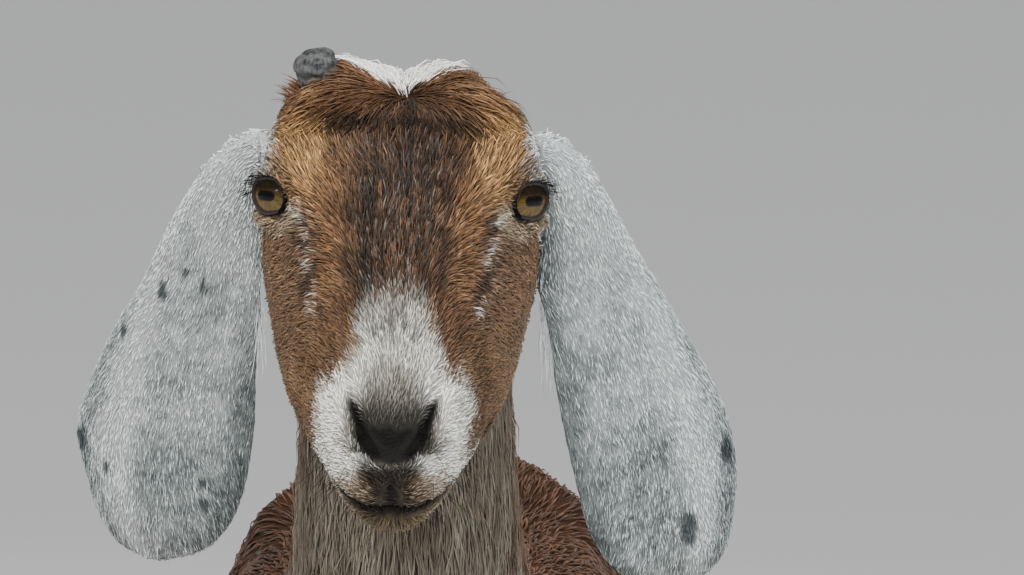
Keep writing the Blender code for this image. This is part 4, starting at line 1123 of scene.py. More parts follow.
def ear_colour(points, side):
    """Frosted grey, peppered all over: a painted highlight down the ridge of the leaf, painted shade in
    blue-grey to both sides of it and along its inner margin, stained near the tip, white at the root, with a
    few dark spots."""
    t, u, _, _ = ear_place(points, side)
    rough = noise(points, 0.016, 21)
    fine = noise(points, 0.005, 22)
    broken = speckle(points)
    # where the painted highlight of the leaf's ridge runs
    ridge = 0.30 + 0.42 * smooth_step(0.55, 0.15, t)
    pepper_and_painted_light = 0.17 + 0.16 * rough + 0.12 * fine + 0.36 * broken
    pepper_and_painted_light = pepper_and_painted_light + 0.28 * smooth_step(0.40, 0.75, t)
    # painted shade beside the ridge and toward both margins, and a painted highlight along the ridge itself
    pepper_and_painted_light = pepper_and_painted_light + 0.14 * bump(u + 0.25, 0.45) * smooth_step(0.2, 0.4, t)
    pepper_and_painted_light = pepper_and_painted_light - 0.85 * bump(u - ridge, 0.18) - 0.35 * smooth_step(0.34, 0.12, t)
    pepper_and_painted_light = pepper_and_painted_light + 0.22 * smooth_step(0.55, 0.85, np.abs(u + 0.05)) * smooth_step(0.25, 0.45, t)
    colour = mixed(EAR_LIGHT, EAR_DARK, pepper_and_painted_light)
    # painted shade along the inner margin of the leaf
    colour = mixed(colour, EAR_DARK * 0.5, 0.60 * smooth_step(-0.62, -1.0, u) * smooth_step(0.2, 0.4, t))
    stain = smooth_step(0.72, 0.95, t + 0.06 * rough) * (0.7 + 0.6 * broken)
    colour = mixed(colour, CHIN * 1.6, 0.28 * stain)
    for across, below, size in EAR_SPOTS[side]:
        down = EYES_MIDDLE[2] - points[:, 2] - below - 0.002
        away = np.hypot(points[:, 0] * side - across, down * 0.55)
        colour = mixed(colour, EAR_SPOT, 0.92 * (1 - smooth_step(0.9 * size, 1.4 * size, away)))
    return colour


def coat_colour(points, part):
    """The marking at any place of the skin, with the painted light and shade of head and ears; part is 1 or -1
    on the left or right ear, and 0 elsewhere.
    """
    colour = body_colour(points)
    above = points[:, 2] > 0.50
    upper = points[above]
    neck = smooth_step(-0.04, 0.14, (NECK_FOOT_POINT - upper) @ NECK_FOOT_WAY + 0.05 + 0.03 * speckle(upper))
    colour[above] = mixed(colour[above], neck_colour(upper), neck)
    near = (part == 0) & (points[:, 1] < -0.36) & (points[:, 2] > 0.76)
    head = smooth_step(-0.004, 0.030, (NECK_TOP_POINT - points[near]) @ NECK_TOP_WAY)
    colour[near] = mixed(colour[near], head_colour(points[near]), head)
    for side in EARS:
        ear = part == side
        if ear.any():
            colour[ear] = ear_colour(points[ear], side)
    return colour


# Coat
# Painted shade on each hair: darker toward its root, where the coat shades itself, lighter at its tip; for the
# coat, and softer for the brown hair of trunk and legs.
COAT_ROOT_SHADOW = (0.42, 1.34)          # how a hair's shade goes from root to tip
BROWN_ROOT_SHADOW = (0.60, 1.25)
HAIR_CHART = (0.0013, 0.003)       # half the width and the length that each hair takes on the baked chart
CHART_EDGE = 0.003                 # margin kept free round the chart


def grown_seed(name):
    """A random source of its own for each piece, the same on every run."""
    return np.random.default_rng(RANDOM_SEED + sum(ord(letter) * (k + 3) for k, letter in enumerate(name)))


def scatter(surface, weights, count, rng):
    """Roots spread evenly by area: one in each equal share of the weighted area, at a random spot of
    its triangle, with the normal blended from the corners."""
    corners = surface.points[surface.triangles]
    doubled = np.cross(corners[:, 1] - corners[:, 0], corners[:, 2] - corners[:, 0])
    total = np.cumsum(np.linalg.norm(doubled, axis=1) * weights)
    picks = (np.arange(count) + rng.random(count)) / count * total[-1]
    face = np.minimum(np.searchsorted(total, picks), len(corners) - 1)
    r, s = np.sqrt(rng.random(count)), rng.random(count)
    share = np.stack([1 - r, r * (1 - s), r * s], 1)[..., None]
    normals = surface.normals[surface.triangles[face]]
    return (corners[face] * share).sum(1), unit((normals * share).sum(1)), face


def combed(way, normals, turn):
    """The ways laid flat on the skin, and turned on it by these angles."""
    way = unit(way - normals * (way * normals).sum(1, keepdims=True))
    return unit(way + np.cross(normals, way) * turn[:, None])


def laid(roots, normals, ways, lengths, lifts, tree, places=3):
    """Spines of hairs laid over the skin: each step goes on along the hair's way, drops to the nearest
    skin, and stands off it by the lift, which rises like a half sine and settles towards the tip. A step
    past a sharp edge bends over it."""
    count = len(roots)
    spines = np.empty((count, places, 3))
    outs = np.empty((count, places, 3))
    spines[:, 0] = roots - normals * (0.12 * lifts)[:, None]
    outs[:, 0] = normals
    for j in range(1, places):
        t = j / (places - 1)
        free = roots + ways * (lengths * t)[:, None]
        height = lifts * (0.35 + 0.9 * math.sin(math.pi * min(1.0, t * 0.75)))
        for i, spot in enumerate(free.tolist()):
            on_skin, out, _, _ = tree.find_nearest(spot)
            spines[i, j] = on_skin
            outs[i, j] = out
        over = ((outs[:, j] * outs[:, j - 1]).sum(1) < 0.15) & (lengths < 0.012)
        ahead = spines[:, j - 1] + ways * (lengths / (places - 1))[:, None]
        spines[over, j] = (0.4 * ahead + 0.6 * spines[:, j])[over]
        outs[over, j] = outs[over, j - 1]
        spines[:, j] += outs[:, j] * np.where(over, 0, height)[:, None]
        step = spines[:, j] - spines[:, j - 1]
        far = np.linalg.norm(step, axis=1, keepdims=True)
        full = (lengths / (places - 1) * 1.15)[:, None]
        spines[:, j] = spines[:, j - 1] + step * np.minimum(1, full / np.maximum(far, 1e-9))
    return spines, outs


def blades(name, spines, outs, widths, colours, chart, slot, ridge=0.45, shade=COAT_ROOT_SHADOW):
    """A piece of three-sided tapered blades along spines: two edges on the skin's side and a ridge
    between them, drawn together at the tip. Colours are one per blade, darkened toward the root by
    painted shade and lighter toward the tip."""
    count, places = spines.shape[:2]
    run = unit(np.gradient(spines, axis=1) + 1e-12)
    across = unit(np.cross(run, outs))
    t = np.linspace(0, 1, places)
    full = widths[:, None, None] * (0.72 + 0.9 * t * (1 - t))[None, :, None]
    left = spines - across * full / 2
    right = spines + across * full / 2
    top = spines + outs * full * ridge
    rings = np.stack([left, top, right], 2)[:, :-1]
    points = np.concatenate([rings.reshape(count, -1, 3), spines[:, -1:]], 1)
    each = points.shape[1]
    faces = [(0, 2, 1)]
    for j in range(places - 2):
        for i in range(3):
            k = (i + 1) % 3
            faces += [(3 * j + i, 3 * j + 3 + k, 3 * j + 3 + i), (3 * j + i, 3 * j + k, 3 * j + 3 + k)]
    last = 3 * (places - 2)
    faces += [(last + i, last + (i + 1) % 3, each - 1) for i in range(3)]
    triangles = (np.arange(count)[:, None, None] * each + np.array(faces)[None]).reshape(-1, 3)
    # painted shade: each hair darker toward its root, lighter toward its tip
    rise = np.append(np.repeat(0.78 * t[:-1] ** 0.7, 3), 1.0)
    tones = np.clip(colours[:, None, :] * (shade[0] + (shade[1] - shade[0]) * rise)[None, :, None], 0, 1)
    u, v = chart(spines[:, 0])
    half_wide, long = HAIR_CHART
    step_u = np.append(np.tile((-half_wide, 0.0, half_wide), places - 1), 0.0)
    step_v = np.append(np.repeat(t[:-1] * long, 3), long) - long / 2
    uv = np.stack([u[:, None] + step_u, v[:, None] + step_v], -1).reshape(-1, 2)
    made = mesh_object(name, points.reshape(-1, 3), triangles, tones.reshape(-1, 3), np.clip(uv, 0, 1))
    made.data.materials.append(coat_material())
    dress(made, slot)


def coat_piece(name, mask, lie, chart, slot, count, length, width, lift, change, curl=0.10, shade=COAT_ROOT_SHADOW):
    """One piece of short coat over the part of the skin that the mask picks.

    length, width, lift and change of tone are numbers or functions of the roots; lie gives the hair's way."""
    surface = skin_surface()
    rng = grown_seed(name)
    roots, normals, face = scatter(surface, mask(surface.middles, surface.part), count, rng)

    def varied(value, spread):
        """The value at each root, varied by chance."""
        return (value(roots) if callable(value) else value) * np.exp(rng.normal(0, spread, count))

    turn = rng.normal(0, curl, count) + 1.1 * curl * noise(roots, 0.014, 31)
    way = combed(lie(roots, normals), normals, turn)
    lengths = varied(length, 0.20)
    lifts = varied(lift, 0.35)
    widths = varied(width, 0.22)
    spines, outs = laid(roots, normals, way, lengths, lifts, surface.tree)
    unlike = rng.normal(0, 1, count) * (change(roots) if callable(change) else change)
    tone = coat_colour(spines[:, 1], surface.part[face]) * np.exp(unlike)[:, None]
    blades(name, spines, outs, widths, tone, chart, slot, shade=shade)


# The lie of the coat

def head_way(local_way):
    """A way of the head's frame as a way of the world."""
    return head_to_world(local_way) - EYES_MIDDLE


def face_lie(points, normals):
    """Hair runs from the muzzle up the nose to the forehead and spreads to the cheeks, where it turns
    back and down. It parts round the eyes, and on the poll it falls from the whorl all round."""
    local = world_to_head(points)
    facing = world_to_head(normals + EYES_MIDDLE)
    x, a, _ = local.T
    side = np.sign(x)
    front = np.stack([x * 10, -np.ones_like(a), np.zeros_like(a)], 1)
    drop = smooth_step(0.000, 0.020, a) * (1 - smooth_step(0.060, 0.085, a))
    flank = np.stack([(0.25 + 0.30 * drop) * side, -0.85 + 0.5 * smooth_step(0.02, -0.03, a) + 0.45 * drop,
                      -0.50 - 0.45 * drop], 1)
    under = np.stack([0.1 * side, -np.ones_like(a), 0 * a], 1)
    sideways = smooth_step(0.35, 0.85, np.abs(facing[:, 0]))[:, None]
    way = front + (flank - front) * sideways
    below = smooth_step(0.2, 0.7, -facing[:, 2])[:, None]
    way = way + (under - way) * below
    chin = (smooth_step(0.136, 0.143, shown_low(local)) * smooth_step(0.080, 0.095, a))[:, None]
    way = way + (np.stack([0.25 * side, 0.15 + 0 * a, -np.ones_like(a)], 1) - way) * chin
    for s in (1, -1):
        away = local - on_side(EYE_CENTRE, s)
        far = np.linalg.norm(away, axis=1, keepdims=True)
        way = way + 1.6 * bump(far, 0.019) * away / far
    fall = local - WHORL
    fall[:, 2] = -0.02
    reach = np.hypot(fall[:, 0], fall[:, 1])
    turned = np.stack([fall[:, 0] - 0.35 * fall[:, 1] * side, fall[:, 1] + 0.35 * np.abs(fall[:, 0]),
                       fall[:, 2]], 1)
    poll = smooth_step(CREASE_A + 0.004, CREASE_A - 0.004, a) * (1 - smooth_step(0.040, 0.056, np.abs(x)))
    way = way + (turned / np.maximum(reach, 0.002)[:, None] - way) * poll[:, None]
    ear = np.stack([side, -0.25 + 0 * a, -0.25 + 0 * a], 1)
    way = way + (ear - way) * ear_root(local)[:, None]
    return head_way(way)


def neck_lie(points, normals):
    """Down, a little back, and outwards from the middle."""
    x = points[:, 0]
    return np.stack([2.2 * x, 0.30 + 0 * x, -1 + 0 * x], 1)


def body_lie(points, normals):
    """Back along the trunk, and down where its side is steep."""
    x = points[:, 0]
    steep = smooth_step(0.15, 0.85, np.abs(normals[:, 0]))
    return np.stack([0 * x, 1 + 0 * x, -1.1 * steep], 1)


def leg_lie(points, normals):
    """Down and a little back."""
    x = points[:, 0]
    return np.stack([0 * x, 0.18 + 0 * x, -1 + 0 * x], 1)


def tail_lie(points, normals):
    """Along the tail to its tip and a little outwards."""
    x, y, z = points.T
    hang = smooth_step(0.705, 0.66, z) * smooth_step(0.42, 0.44, y)
    return np.stack([3 * x, 1 - 0.95 * hang, 0.2 - 1.2 * hang], 1)


def ear_lie(points, normals):
    """From root to tip, spreading to both margins in the leaf's middle."""
    way = np.zeros_like(points)
    for side in EARS:
        own = points[:, 0] * side > 0
        t, u, run, across = ear_place(points[own], side)
        spread = 0.34 * smooth_step(0.2, 0.35, t) * (1 - smooth_step(0.65, 0.95, np.abs(u)))
        way[own] = run + across * (u * spread)[:, None]
    return way


# Where each root lies on an unwrap of the skin

def on_chart(value):
    """A place from 0 to 1, kept off the edges of the chart."""
    return np.clip(value, CHART_EDGE, 1 - CHART_EDGE)


def chart_of(angle, along):
    """A chart from the angle round a part's axis and the place along it, both brought to 0 to 1."""
    return on_chart(0.5 + angle / (2 * np.pi)), on_chart(along)


def head_chart(points):
    """Round the length of the head, and from its back to the muzzle."""
    x, a, b = world_to_head(points).T
    return chart_of(np.arctan2(x, b + 0.032), (a + 0.10) / 0.25)


def neck_chart(points):
    """Round the neck's middle line, and up it."""
    x, y, z = points.T
    return chart_of(np.arctan2(x, y - at_height(NECK_GIRTHS, z, 0, 1)), (z - 0.52) / 0.50)


def body_chart(points):
    """Round the trunk, and along it."""
    x, y, z = points.T
    return chart_of(np.arctan2(x, z - 0.55), (y + 0.38) / 0.84)


def leg_chart(points):
    """The four legs side by side: round each one's middle line, and up it."""
    x, y, z = points.T
    which = (x > 0) * 1.0 + (y > 0) * 2.0
    middle = np.where(y > 0, at_height(HIND_GIRTHS, z, 1), at_height(FORE_GIRTHS, z, 1))
    u, v = chart_of(np.arctan2(np.abs(x) - 0.085, y - middle), z / 0.72)
    return (which + u) / 4, v


def tail_chart(points):
    """Round the hanging tail, and up it."""
    x, y, z = points.T
    return chart_of(np.arctan2(x, y - 0.44), (z - 0.55) / 0.18)


def ear_chart(points):
    """Both faces of the leaf side by side: across it and from root to tip."""
    u, v, back = np.zeros(len(points)), np.zeros(len(points)), np.zeros(len(points))
    for side in EARS:
        own = points[:, 0] * side > 0
        if own.any():
            v[own], u[own] = ear_place(points[own], side)[:2]
            back[own] = ear_height(points[own], side) < 0
    return on_chart((back + 0.5 + u / 2.5) / 2), on_chart(v)


# Skin
HEAD_VOXEL = 1.35 * MM
BODY_VOXEL = 4.5 * MM
HEAD_TRIANGLES = 98000
BODY_TRIANGLES = 66000
# Painted shade under the coat: how dark the skin is made beside its hair, on the body and on the ears.
SKIN_SHADE_UNDER_HAIR = 0.42                   # how bright the skin is beside its hair
EAR_SKIN_SHADE_UNDER_HAIR = 0.30


def drawn_in(side):
    """The table of an ear with its width drawn in by the depth of the coat, most at its upper margin."""
    narrow = np.array(EARS[side])
    rows = np.arange(len(narrow))
    tilt = np.radians(narrow[:, 3])
    upper = (1.3 if side > 0 else 2.3) * MM * smooth_step(0.4, 1.6, rows) * (1 - smooth_step(4, 7, rows))
    narrow[:, 0] -= upper * np.cos(tilt)
    narrow[:, 1] += upper * np.sin(tilt) - 2.0 * MM * smooth_step(8, 11, rows)
    narrow[:, 2] = np.maximum(narrow[:, 2] - upper - 1.9 * MM * smooth_step(1, 4, rows), 3.0 * MM)
    return narrow


def leaf_shape(side):
    """The leaf of an ear, its margin and its faces drawn in by the depth of the coat."""
    return tube("leaf", ear_rings(drawn_in(side), side, 80, 44, EAR_THICKNESS - 1.6 * MM)[6:])


@cache
def leaf_tree(side):
    """A search tree of the leaf of an ear."""
    leaf = leaf_shape(side)
    corners, faces = triangles_of(leaf)
    bpy.data.objects.remove(leaf)
    return BVHTree.FromPolygons(corners.tolist(), faces.tolist())


def part_of(points):
    """1 or -1 for places on the leaf of the left or the right ear, and 0 elsewhere."""
    part = np.zeros(len(points), int)
    for side in EARS:
        near = np.flatnonzero((points[:, 0] * side > 0.045) & (points[:, 1] < -0.40) & (points[:, 2] > 0.72))
        on_leaf = [leaf_tree(side).find_nearest(spot, 0.4 * MM)[0] is not None
                   for spot in points[near].tolist()]
        part[near[np.array(on_leaf)]] = side
    return part


class Surface:
    """The finished skin as arrays in the making frame: points, normals, triangles, their middles, and the
    part that each is of, with a search tree."""

    def __init__(self, made):
        points, self.triangles = triangles_of(made)
        self.points = points - SHIFT
        self.normals = normals_of(made)
        self.tree = BVHTree.FromPolygons(self.points.tolist(), self.triangles.tolist())
        self.middles = self.points[self.triangles].mean(1)
        self.part = part_of(self.middles)


@cache
def skin_surface():
    """The skin, read once it is finished."""
    return Surface(bpy.data.objects["skin"])


def head_depth(local):
    """How deep the coat lies on the head: nothing on the nose pad, least on the face, most on the poll
    and under the throat."""
    x, a, b = local.T
    depth = 1.2 * MM + 0.8 * MM * smooth_step(0.050, 0.000, a)
    depth = depth * (0.35 + 0.65 * smooth_step(0.112, 0.080, a))
    depth = depth + 2.0 * MM * bump(np.hypot(x, a + 0.045), 0.030) * (b > 0)
    depth = depth + 2.5 * MM * smooth_step(-0.035, -0.080, a)
    return depth * (1 - bare_share(local))


def crowned(local):
    """Lifts the two bosses of the poll as they show from the front, and sinks the saddle between."""
    x, a, b = local.T
    rise = 4.2 * MM * bump(np.abs(x + 0.002) - 0.0255, 0.0145) - 1.5 * MM * bump(x, 0.011)
    rise = rise - 8.0 * MM * bump(x - 0.044, 0.014) + 1.5 * MM * bump(x + 0.036, 0.010)
    there = smooth_step(-0.034, -0.052, a) * smooth_step(-0.020, -0.004, b)
    return local - FACE_DOWN * (rise * there)[:, None]


def skin_of_head():
    """Skull, nape and the roots of the ears in one relaxed surface, drawn in by the coat's depth, then
    carved, with the leaves of the ears joined on."""
    parts = [tube("skull", head_rings(100, 90)), tube("nape", neck_rings(60, 64)[:36])]
    for side in EARS:
        parts.append(tube("ear_root", ear_rings(drawn_in(side), side, 40, 28)[:9]))
    made = joined("skin_head", parts)
    remesh(made, HEAD_VOXEL)
    relax(made, 45)
    points = points_of(made)
    depth = head_depth(world_to_head(points))
    beyond = (points - NECK_TOP_POINT) @ NECK_TOP_WAY
    depth = depth + 2.0 * MM * smooth_step(-0.002, 0.006, beyond)
    set_points(made, points - normals_of(made) * depth[:, None])
    carve_head(made)
    set_points(made, head_to_world(crowned(world_to_head(points_of(made)))))
    relax(made, 2)
    thin_out(made, HEAD_TRIANGLES)
    for side in EARS:
        boolean(made, leaf_shape(side), "UNION")
    return made


def skin_of_body():
    """Trunk, neck, legs and tail in one relaxed surface, drawn in by the coat's depth."""
    parts = [tube("trunk", trunk_rings(80, 72)), tube("neck", neck_rings(50, 56)),
             tube("skull", head_rings(40, 40))]
    for side, _ in SIDES:
        for girths in (FORE_GIRTHS, HIND_GIRTHS):
            parts.append(tube("leg", leg_rings(girths, side, 110, 40)))
    parts.append(tube("tail", bent_rings(TAIL_GIRTHS, 40, 30, 2.0)))
    made = joined("skin_body", parts)
    remesh(made, BODY_VOXEL)
    relax(made, 12)
    relax(made, 70, above=0.40)
    set_points(made, swollen(points_of(made), normals_of(made), BODY_FORMS))
    points = points_of(made)
    z = points[:, 2]
    depth = 2.0 * MM + 2.5 * MM * smooth_step(0.34, 0.46, z)
    depth = depth * (1 - 0.5 * smooth_step(0.10, 0.05, z))
    set_points(made, points - normals_of(made) * depth[:, None])
    thin_out(made, BODY_TRIANGLES)
    halved(made, NECK_TOP_POINT, -NECK_TOP_WAY)
    for foot in (FORE_FOOT, HIND_FOOT):
        boolean(made, foot_block(foot), "DIFFERENCE")
    return made


def foot_block(foot):
    """What lies under the coronet of a pair of feet, where the claws take the place of the leg."""
    y, wide, deep = foot[1], 0.20, 0.07
    corners = []
    for x in (-wide, wide):
        for ahead in (-deep, deep):
            for z in (-0.05, CORONET_Z - CORONET_SLOPE * ahead - 0.4 * MM):
                corners.append((x, y + ahead, z))
    faces = ((0, 1, 3, 2), (4, 6, 7, 5), (0, 4, 5, 1), (2, 3, 7, 6), (0, 2, 6, 4), (1, 5, 7, 3))
    made = new_object("block", corners, faces)
    face_outwards(made)
    return made


# Materials

def feed(node, feeds):
    """Gives the sockets of a node their plain values, or links them to the sockets that feed them."""
    for word, value in dict(feeds).items():
        if isinstance(value, bpy.types.NodeSocket):
            node.id_data.links.new(value, node.inputs[word])
        else:
            node.inputs[word].default_value = value
    return node


def shader_node(tree, kind, feeds=(), **choices):
    """A new node of a tree, with its choices made and its sockets fed."""
    made = tree.nodes.new("ShaderNode" + kind)
    for word, value in choices.items():
        setattr(made, word, value)
    return feed(made, feeds)


def maths(tree, operation, *values):
    """The result of a Math node on plain values or sockets."""
    return shader_node(tree, "Math", enumerate(values), operation=operation).outputs[0]


def relief(tree, height, strength, depth):
    """Normals that follow a height."""
    bump_node = shader_node(tree, "Bump", {"Height": height, "Strength": strength, "Distance": depth})
    return bump_node.outputs["Normal"]


def ramp(tree, share, low, dark, high, light):
    """A colour that goes from dark to light as the share goes from low to high."""
    made = shader_node(tree, "ValToRGB", {"Fac": share})
    for element, position, colour in zip(made.color_ramp.elements, (low, high), (dark, light)):
        element.position = position
        element.color = (*colour, 1)
    return made.outputs["Color"]


def object_place(tree, stretch):
    """Object coordinates, plain and with their height drawn out, so that a pattern runs along it."""
    place = shader_node(tree, "TexCoord").outputs["Object"]
    drawn_out = shader_node(tree, "Mapping", {"Vector": place, "Scale": (1.0, 1.0, stretch)})
    return place, drawn_out.outputs["Vector"]


def coat_tone_group():
    """Gives a marking its hair by hair change of tone: broad patches, and fine grain, on Object place."""
    if "coat tone" in bpy.data.node_groups:
        return bpy.data.node_groups["coat tone"]
    group = bpy.data.node_groups.new("coat tone", "ShaderNodeTree")
    group.interface.new_socket(name="Colour", in_out="INPUT", socket_type="NodeSocketColor")
    for word, usual in (("Patch size", 60.0), ("Grain size", 900.0), ("Strength", 0.35)):
        socket = group.interface.new_socket(name=word, in_out="INPUT", socket_type="NodeSocketFloat")
        socket.default_value = usual
    group.interface.new_socket(name="Colour", in_out="OUTPUT", socket_type="NodeSocketColor")
    group.interface.new_socket(name="Height", in_out="OUTPUT", socket_type="NodeSocketFloat")
    given = group.nodes.new("NodeGroupInput").outputs
    place, drawn_out = object_place(group, 0.30)
    patch = shader_node(group, "TexNoise", {"Vector": place, "Scale": given["Patch size"], "Detail": 3.0})
    grain = shader_node(group, "TexNoise", {"Vector": drawn_out, "Scale": given["Grain size"], "Detail": 4.0,
                                            "Roughness": 0.7}).outputs["Fac"]
    total = maths(group, "ADD", patch.outputs["Fac"], grain)
    level = maths(group, "SUBTRACT", 1.0, given["Strength"])
    spread = maths(group, "MULTIPLY_ADD", total, given["Strength"], level)
    tone = shader_node(group, "Mix", {"Factor": 1.0, "A": given["Colour"], "B": spread},
                       data_type="RGBA", blend_type="MULTIPLY")
    feed(group.nodes.new("NodeGroupOutput"), {"Colour": tone.outputs["Result"], "Height": grain})
    return group


def toned_marking(tree, feeds):
    """The markings kept in the attribute coat, with the coat's change of tone."""
    marking = shader_node(tree, "Attribute", attribute_name="coat").outputs["Color"]
    return shader_node(tree, "Group", {"Colour": marking, **feeds}, node_tree=coat_tone_group()).outputs


def plain_material(name, roughness, specular):
    """A material, its node tree and its Principled shader."""
    made = bpy.data.materials.new(name)
    made.use_nodes = True
    shader = made.node_tree.nodes["Principled BSDF"]
    return made, made.node_tree, feed(shader, {"Roughness": roughness, "Specular IOR Level": specular})


def coat_material():
    """Hair: the tuft's own colour, softly changed over the body, with a dull sheen."""
    name = "coat hair"
    if name in bpy.data.materials:
        return bpy.data.materials[name]
    made, tree, shader = plain_material(name, 0.58, 0.28)
    tone = toned_marking(tree, {"Patch size": 70.0, "Grain size": 1400.0, "Strength": 0.25})
    feed(shader, {"Sheen Weight": 0.05, "Sheen Roughness": 0.4, "Base Color": tone["Colour"]})
    return made


def skin_material():
    """Skin under the hair: the same markings, darkened as painted shade under the coat, with a bump of short
    flat hair, and bare, pebbled and a little moist on the nose pad."""
    made, tree, shader = plain_material("skin", 0.6, 0.25)
    tone = toned_marking(tree, {"Strength": 0.45})
    bare = shader_node(tree, "Attribute", attribute_name="bare").outputs["Fac"]
    gloss = shader_node(tree, "MapRange", {"Value": bare, "To Min": 0.72, "To Max": 0.55})
    place = shader_node(tree, "TexCoord").outputs["Object"]
    pebble = shader_node(tree, "TexVoronoi", {"Vector": place, "Scale": 850.0}).outputs["Distance"]
    height = shader_node(tree, "Mix", {"Factor": bare, "A": tone["Height"], "B": pebble}).outputs["Result"]
    feed(shader, {"Base Color": tone["Colour"], "Roughness": gloss.outputs["Result"],
                  "Normal": relief(tree, height, 0.55, 0.6 * MM)})
    return made


def lid_material():
    """The dark bare margin of the lids, finely grained."""
    made, tree, shader = plain_material("lid", 0.42, 0.45)
    grain = shader_node(tree, "TexNoise", {"Scale": 1500.0}).outputs["Fac"]
    feed(shader, {"Base Color": (*linear(40, 34, 34), 1), "Normal": relief(tree, grain, 0.4, 0.3 * MM)})
    return made


def eye_material():
    """A wet eye: an amber iris with spokes and a dark rim under a painted shadow of the upper lid, a level
    slot of a pupil, brown white of the eye. The UV map holds the place across and up, in eye radii from the
    middle of the look."""
    made, tree, shader = plain_material("eye", 0.25, 0.2)

    def length(u, v):
        """The length of the arrow (u, v)."""
        return maths(tree, "SQRT", maths(tree, "ADD", maths(tree, "MULTIPLY", u, u),
                                         maths(tree, "MULTIPLY", v, v)))

    def over(share, under, colour):
        """A colour laid over another by a share."""
        return shader_node(tree, "Mix", {"Factor": share, "A": under, "B": (*colour, 1)},
                           data_type="RGBA").outputs["Result"]

    def soft(value, low, high):
        """0 at low and 1 at high, with a soft rise between them."""
        return shader_node(tree, "MapRange", {"Value": value, "From Min": low, "From Max": high},
                           interpolation_type="SMOOTHSTEP").outputs["Result"]

    place = shader_node(tree, "UVMap", uv_map="iris").outputs["UV"]
    parts = shader_node(tree, "SeparateXYZ", {"Vector": place}).outputs
    u, v = (maths(tree, "MULTIPLY_ADD", parts[word], 2.0, -1.0) for word in "XY")
    reach = length(u, v)
    angle = maths(tree, "ARCTAN2", v, u)
    polar = shader_node(tree, "CombineXYZ", {
        "X": maths(tree, "MULTIPLY", maths(tree, "COSINE", angle), 9.0),
        "Y": maths(tree, "MULTIPLY", maths(tree, "SINE", angle), 9.0),
        "Z": maths(tree, "MULTIPLY", reach, 4.0)}).outputs["Vector"]
    spokes = shader_node(tree, "TexNoise", {"Vector": polar, "Scale": 1.0, "Detail": 3.0}).outputs["Fac"]
    iris = ramp(tree, spokes, 0.30, linear(42, 33, 12), 0.72, linear(96, 76, 34))
    colour = over(maths(tree, "MULTIPLY", soft(reach, 0.52, 0.68), 0.85), iris, linear(34, 26, 18))
    colour = over(soft(reach, 0.70, 0.80), colour, linear(40, 30, 26))
    past_slot = maths(tree, "MAXIMUM", maths(tree, "SUBTRACT", maths(tree, "ABSOLUTE", u), 0.165), 0.0)
    slot = soft(length(past_slot, maths(tree, "ABSOLUTE", v)), 0.180, 0.135)
    colour = over(slot, colour, (0.002, 0.002, 0.003))
    # painted shadow of the upper lid over the top of the iris
    upper_lid_shadow = maths(tree, "MULTIPLY", soft(v, -0.06, 0.26), 0.92)
    feed(shader, {"Coat Weight": 0.5, "Coat Roughness": 0.015, "Coat IOR": 1.38,
                  "Base Color": over(upper_lid_shadow, colour, linear(20, 16, 12))})
    return made


def horn_material(name, light, dark, rings, roughness):
    """Horn and hoof: growth rings across the height, and grain along it."""
    made, tree, shader = plain_material(name, roughness, 0.4)
    place, drawn_out = object_place(tree, 0.18)
    grain = shader_node(tree, "TexNoise", {"Vector": drawn_out, "Scale": 700.0, "Detail": 4.0}).outputs["Fac"]
    wave = shader_node(tree, "TexWave", {"Vector": place, "Scale": rings, "Distortion": 5.0, "Detail": 2.0,
                                         "Detail Scale": 3.0, "Detail Roughness": 0.7}, bands_direction="Z")
    mix = shader_node(tree, "Mix", {"Factor": 0.22, "A": grain, "B": wave.outputs["Fac"]}).outputs["Result"]
    feed(shader, {"Base Color": ramp(tree, mix, 0.25, dark, 0.80, light),
                  "Normal": relief(tree, mix, 0.5, 0.5 * MM)})
    return made


# Eyes

def eye_ball(side):
    """A ball round the eye's look: rings from the middle of the iris back, with the cornea swelling
    0.8 mm out over the iris. The UV map iris holds the place across and up over the eye's radius."""
    look = eye_axes(side)[0]
    up = unit(PUPIL_UP - look * (PUPIL_UP @ look))
    over = np.cross(up, look)
    polar = np.linspace(0, math.pi, 64) ** 1.15
    polar = polar / polar[-1] * math.pi
    around = np.linspace(0, 2 * np.pi, 72, endpoint=False)
    bulge = 0.8 * MM * bump(polar, 0.50)
    radius = EYE_RADIUS - 0.25 * MM + bulge
    ring = over * np.cos(around)[:, None] + up * np.sin(around)[:, None]
    points = (look * (radius * np.cos(polar))[:, None, None]
              + ring[None] * (radius * np.sin(polar))[:, None, None])
    rings = head_to_world(points + on_side(EYE_CENTRE, side))
    made = tube("eye", rings[1:-1])
    flat = points_of(made)
    local = (world_to_head(flat) - on_side(EYE_CENTRE, side)) / EYE_RADIUS
    uv = np.stack([0.5 - 0.5 * (local @ over + 0.05 * side), 0.5 + 0.5 * (local @ up + 0.09)], 1)
    layer = made.data.uv_layers.new(name="iris")
    corner = np.empty(len(made.data.loops), np.int32)
    made.data.loops.foreach_get("vertex_index", corner)
    layer.uv.foreach_set("vector", uv[corner].astype(np.float32).ravel())
    set_points(made, flat + SHIFT)
    made.data.shade_smooth()
    return made


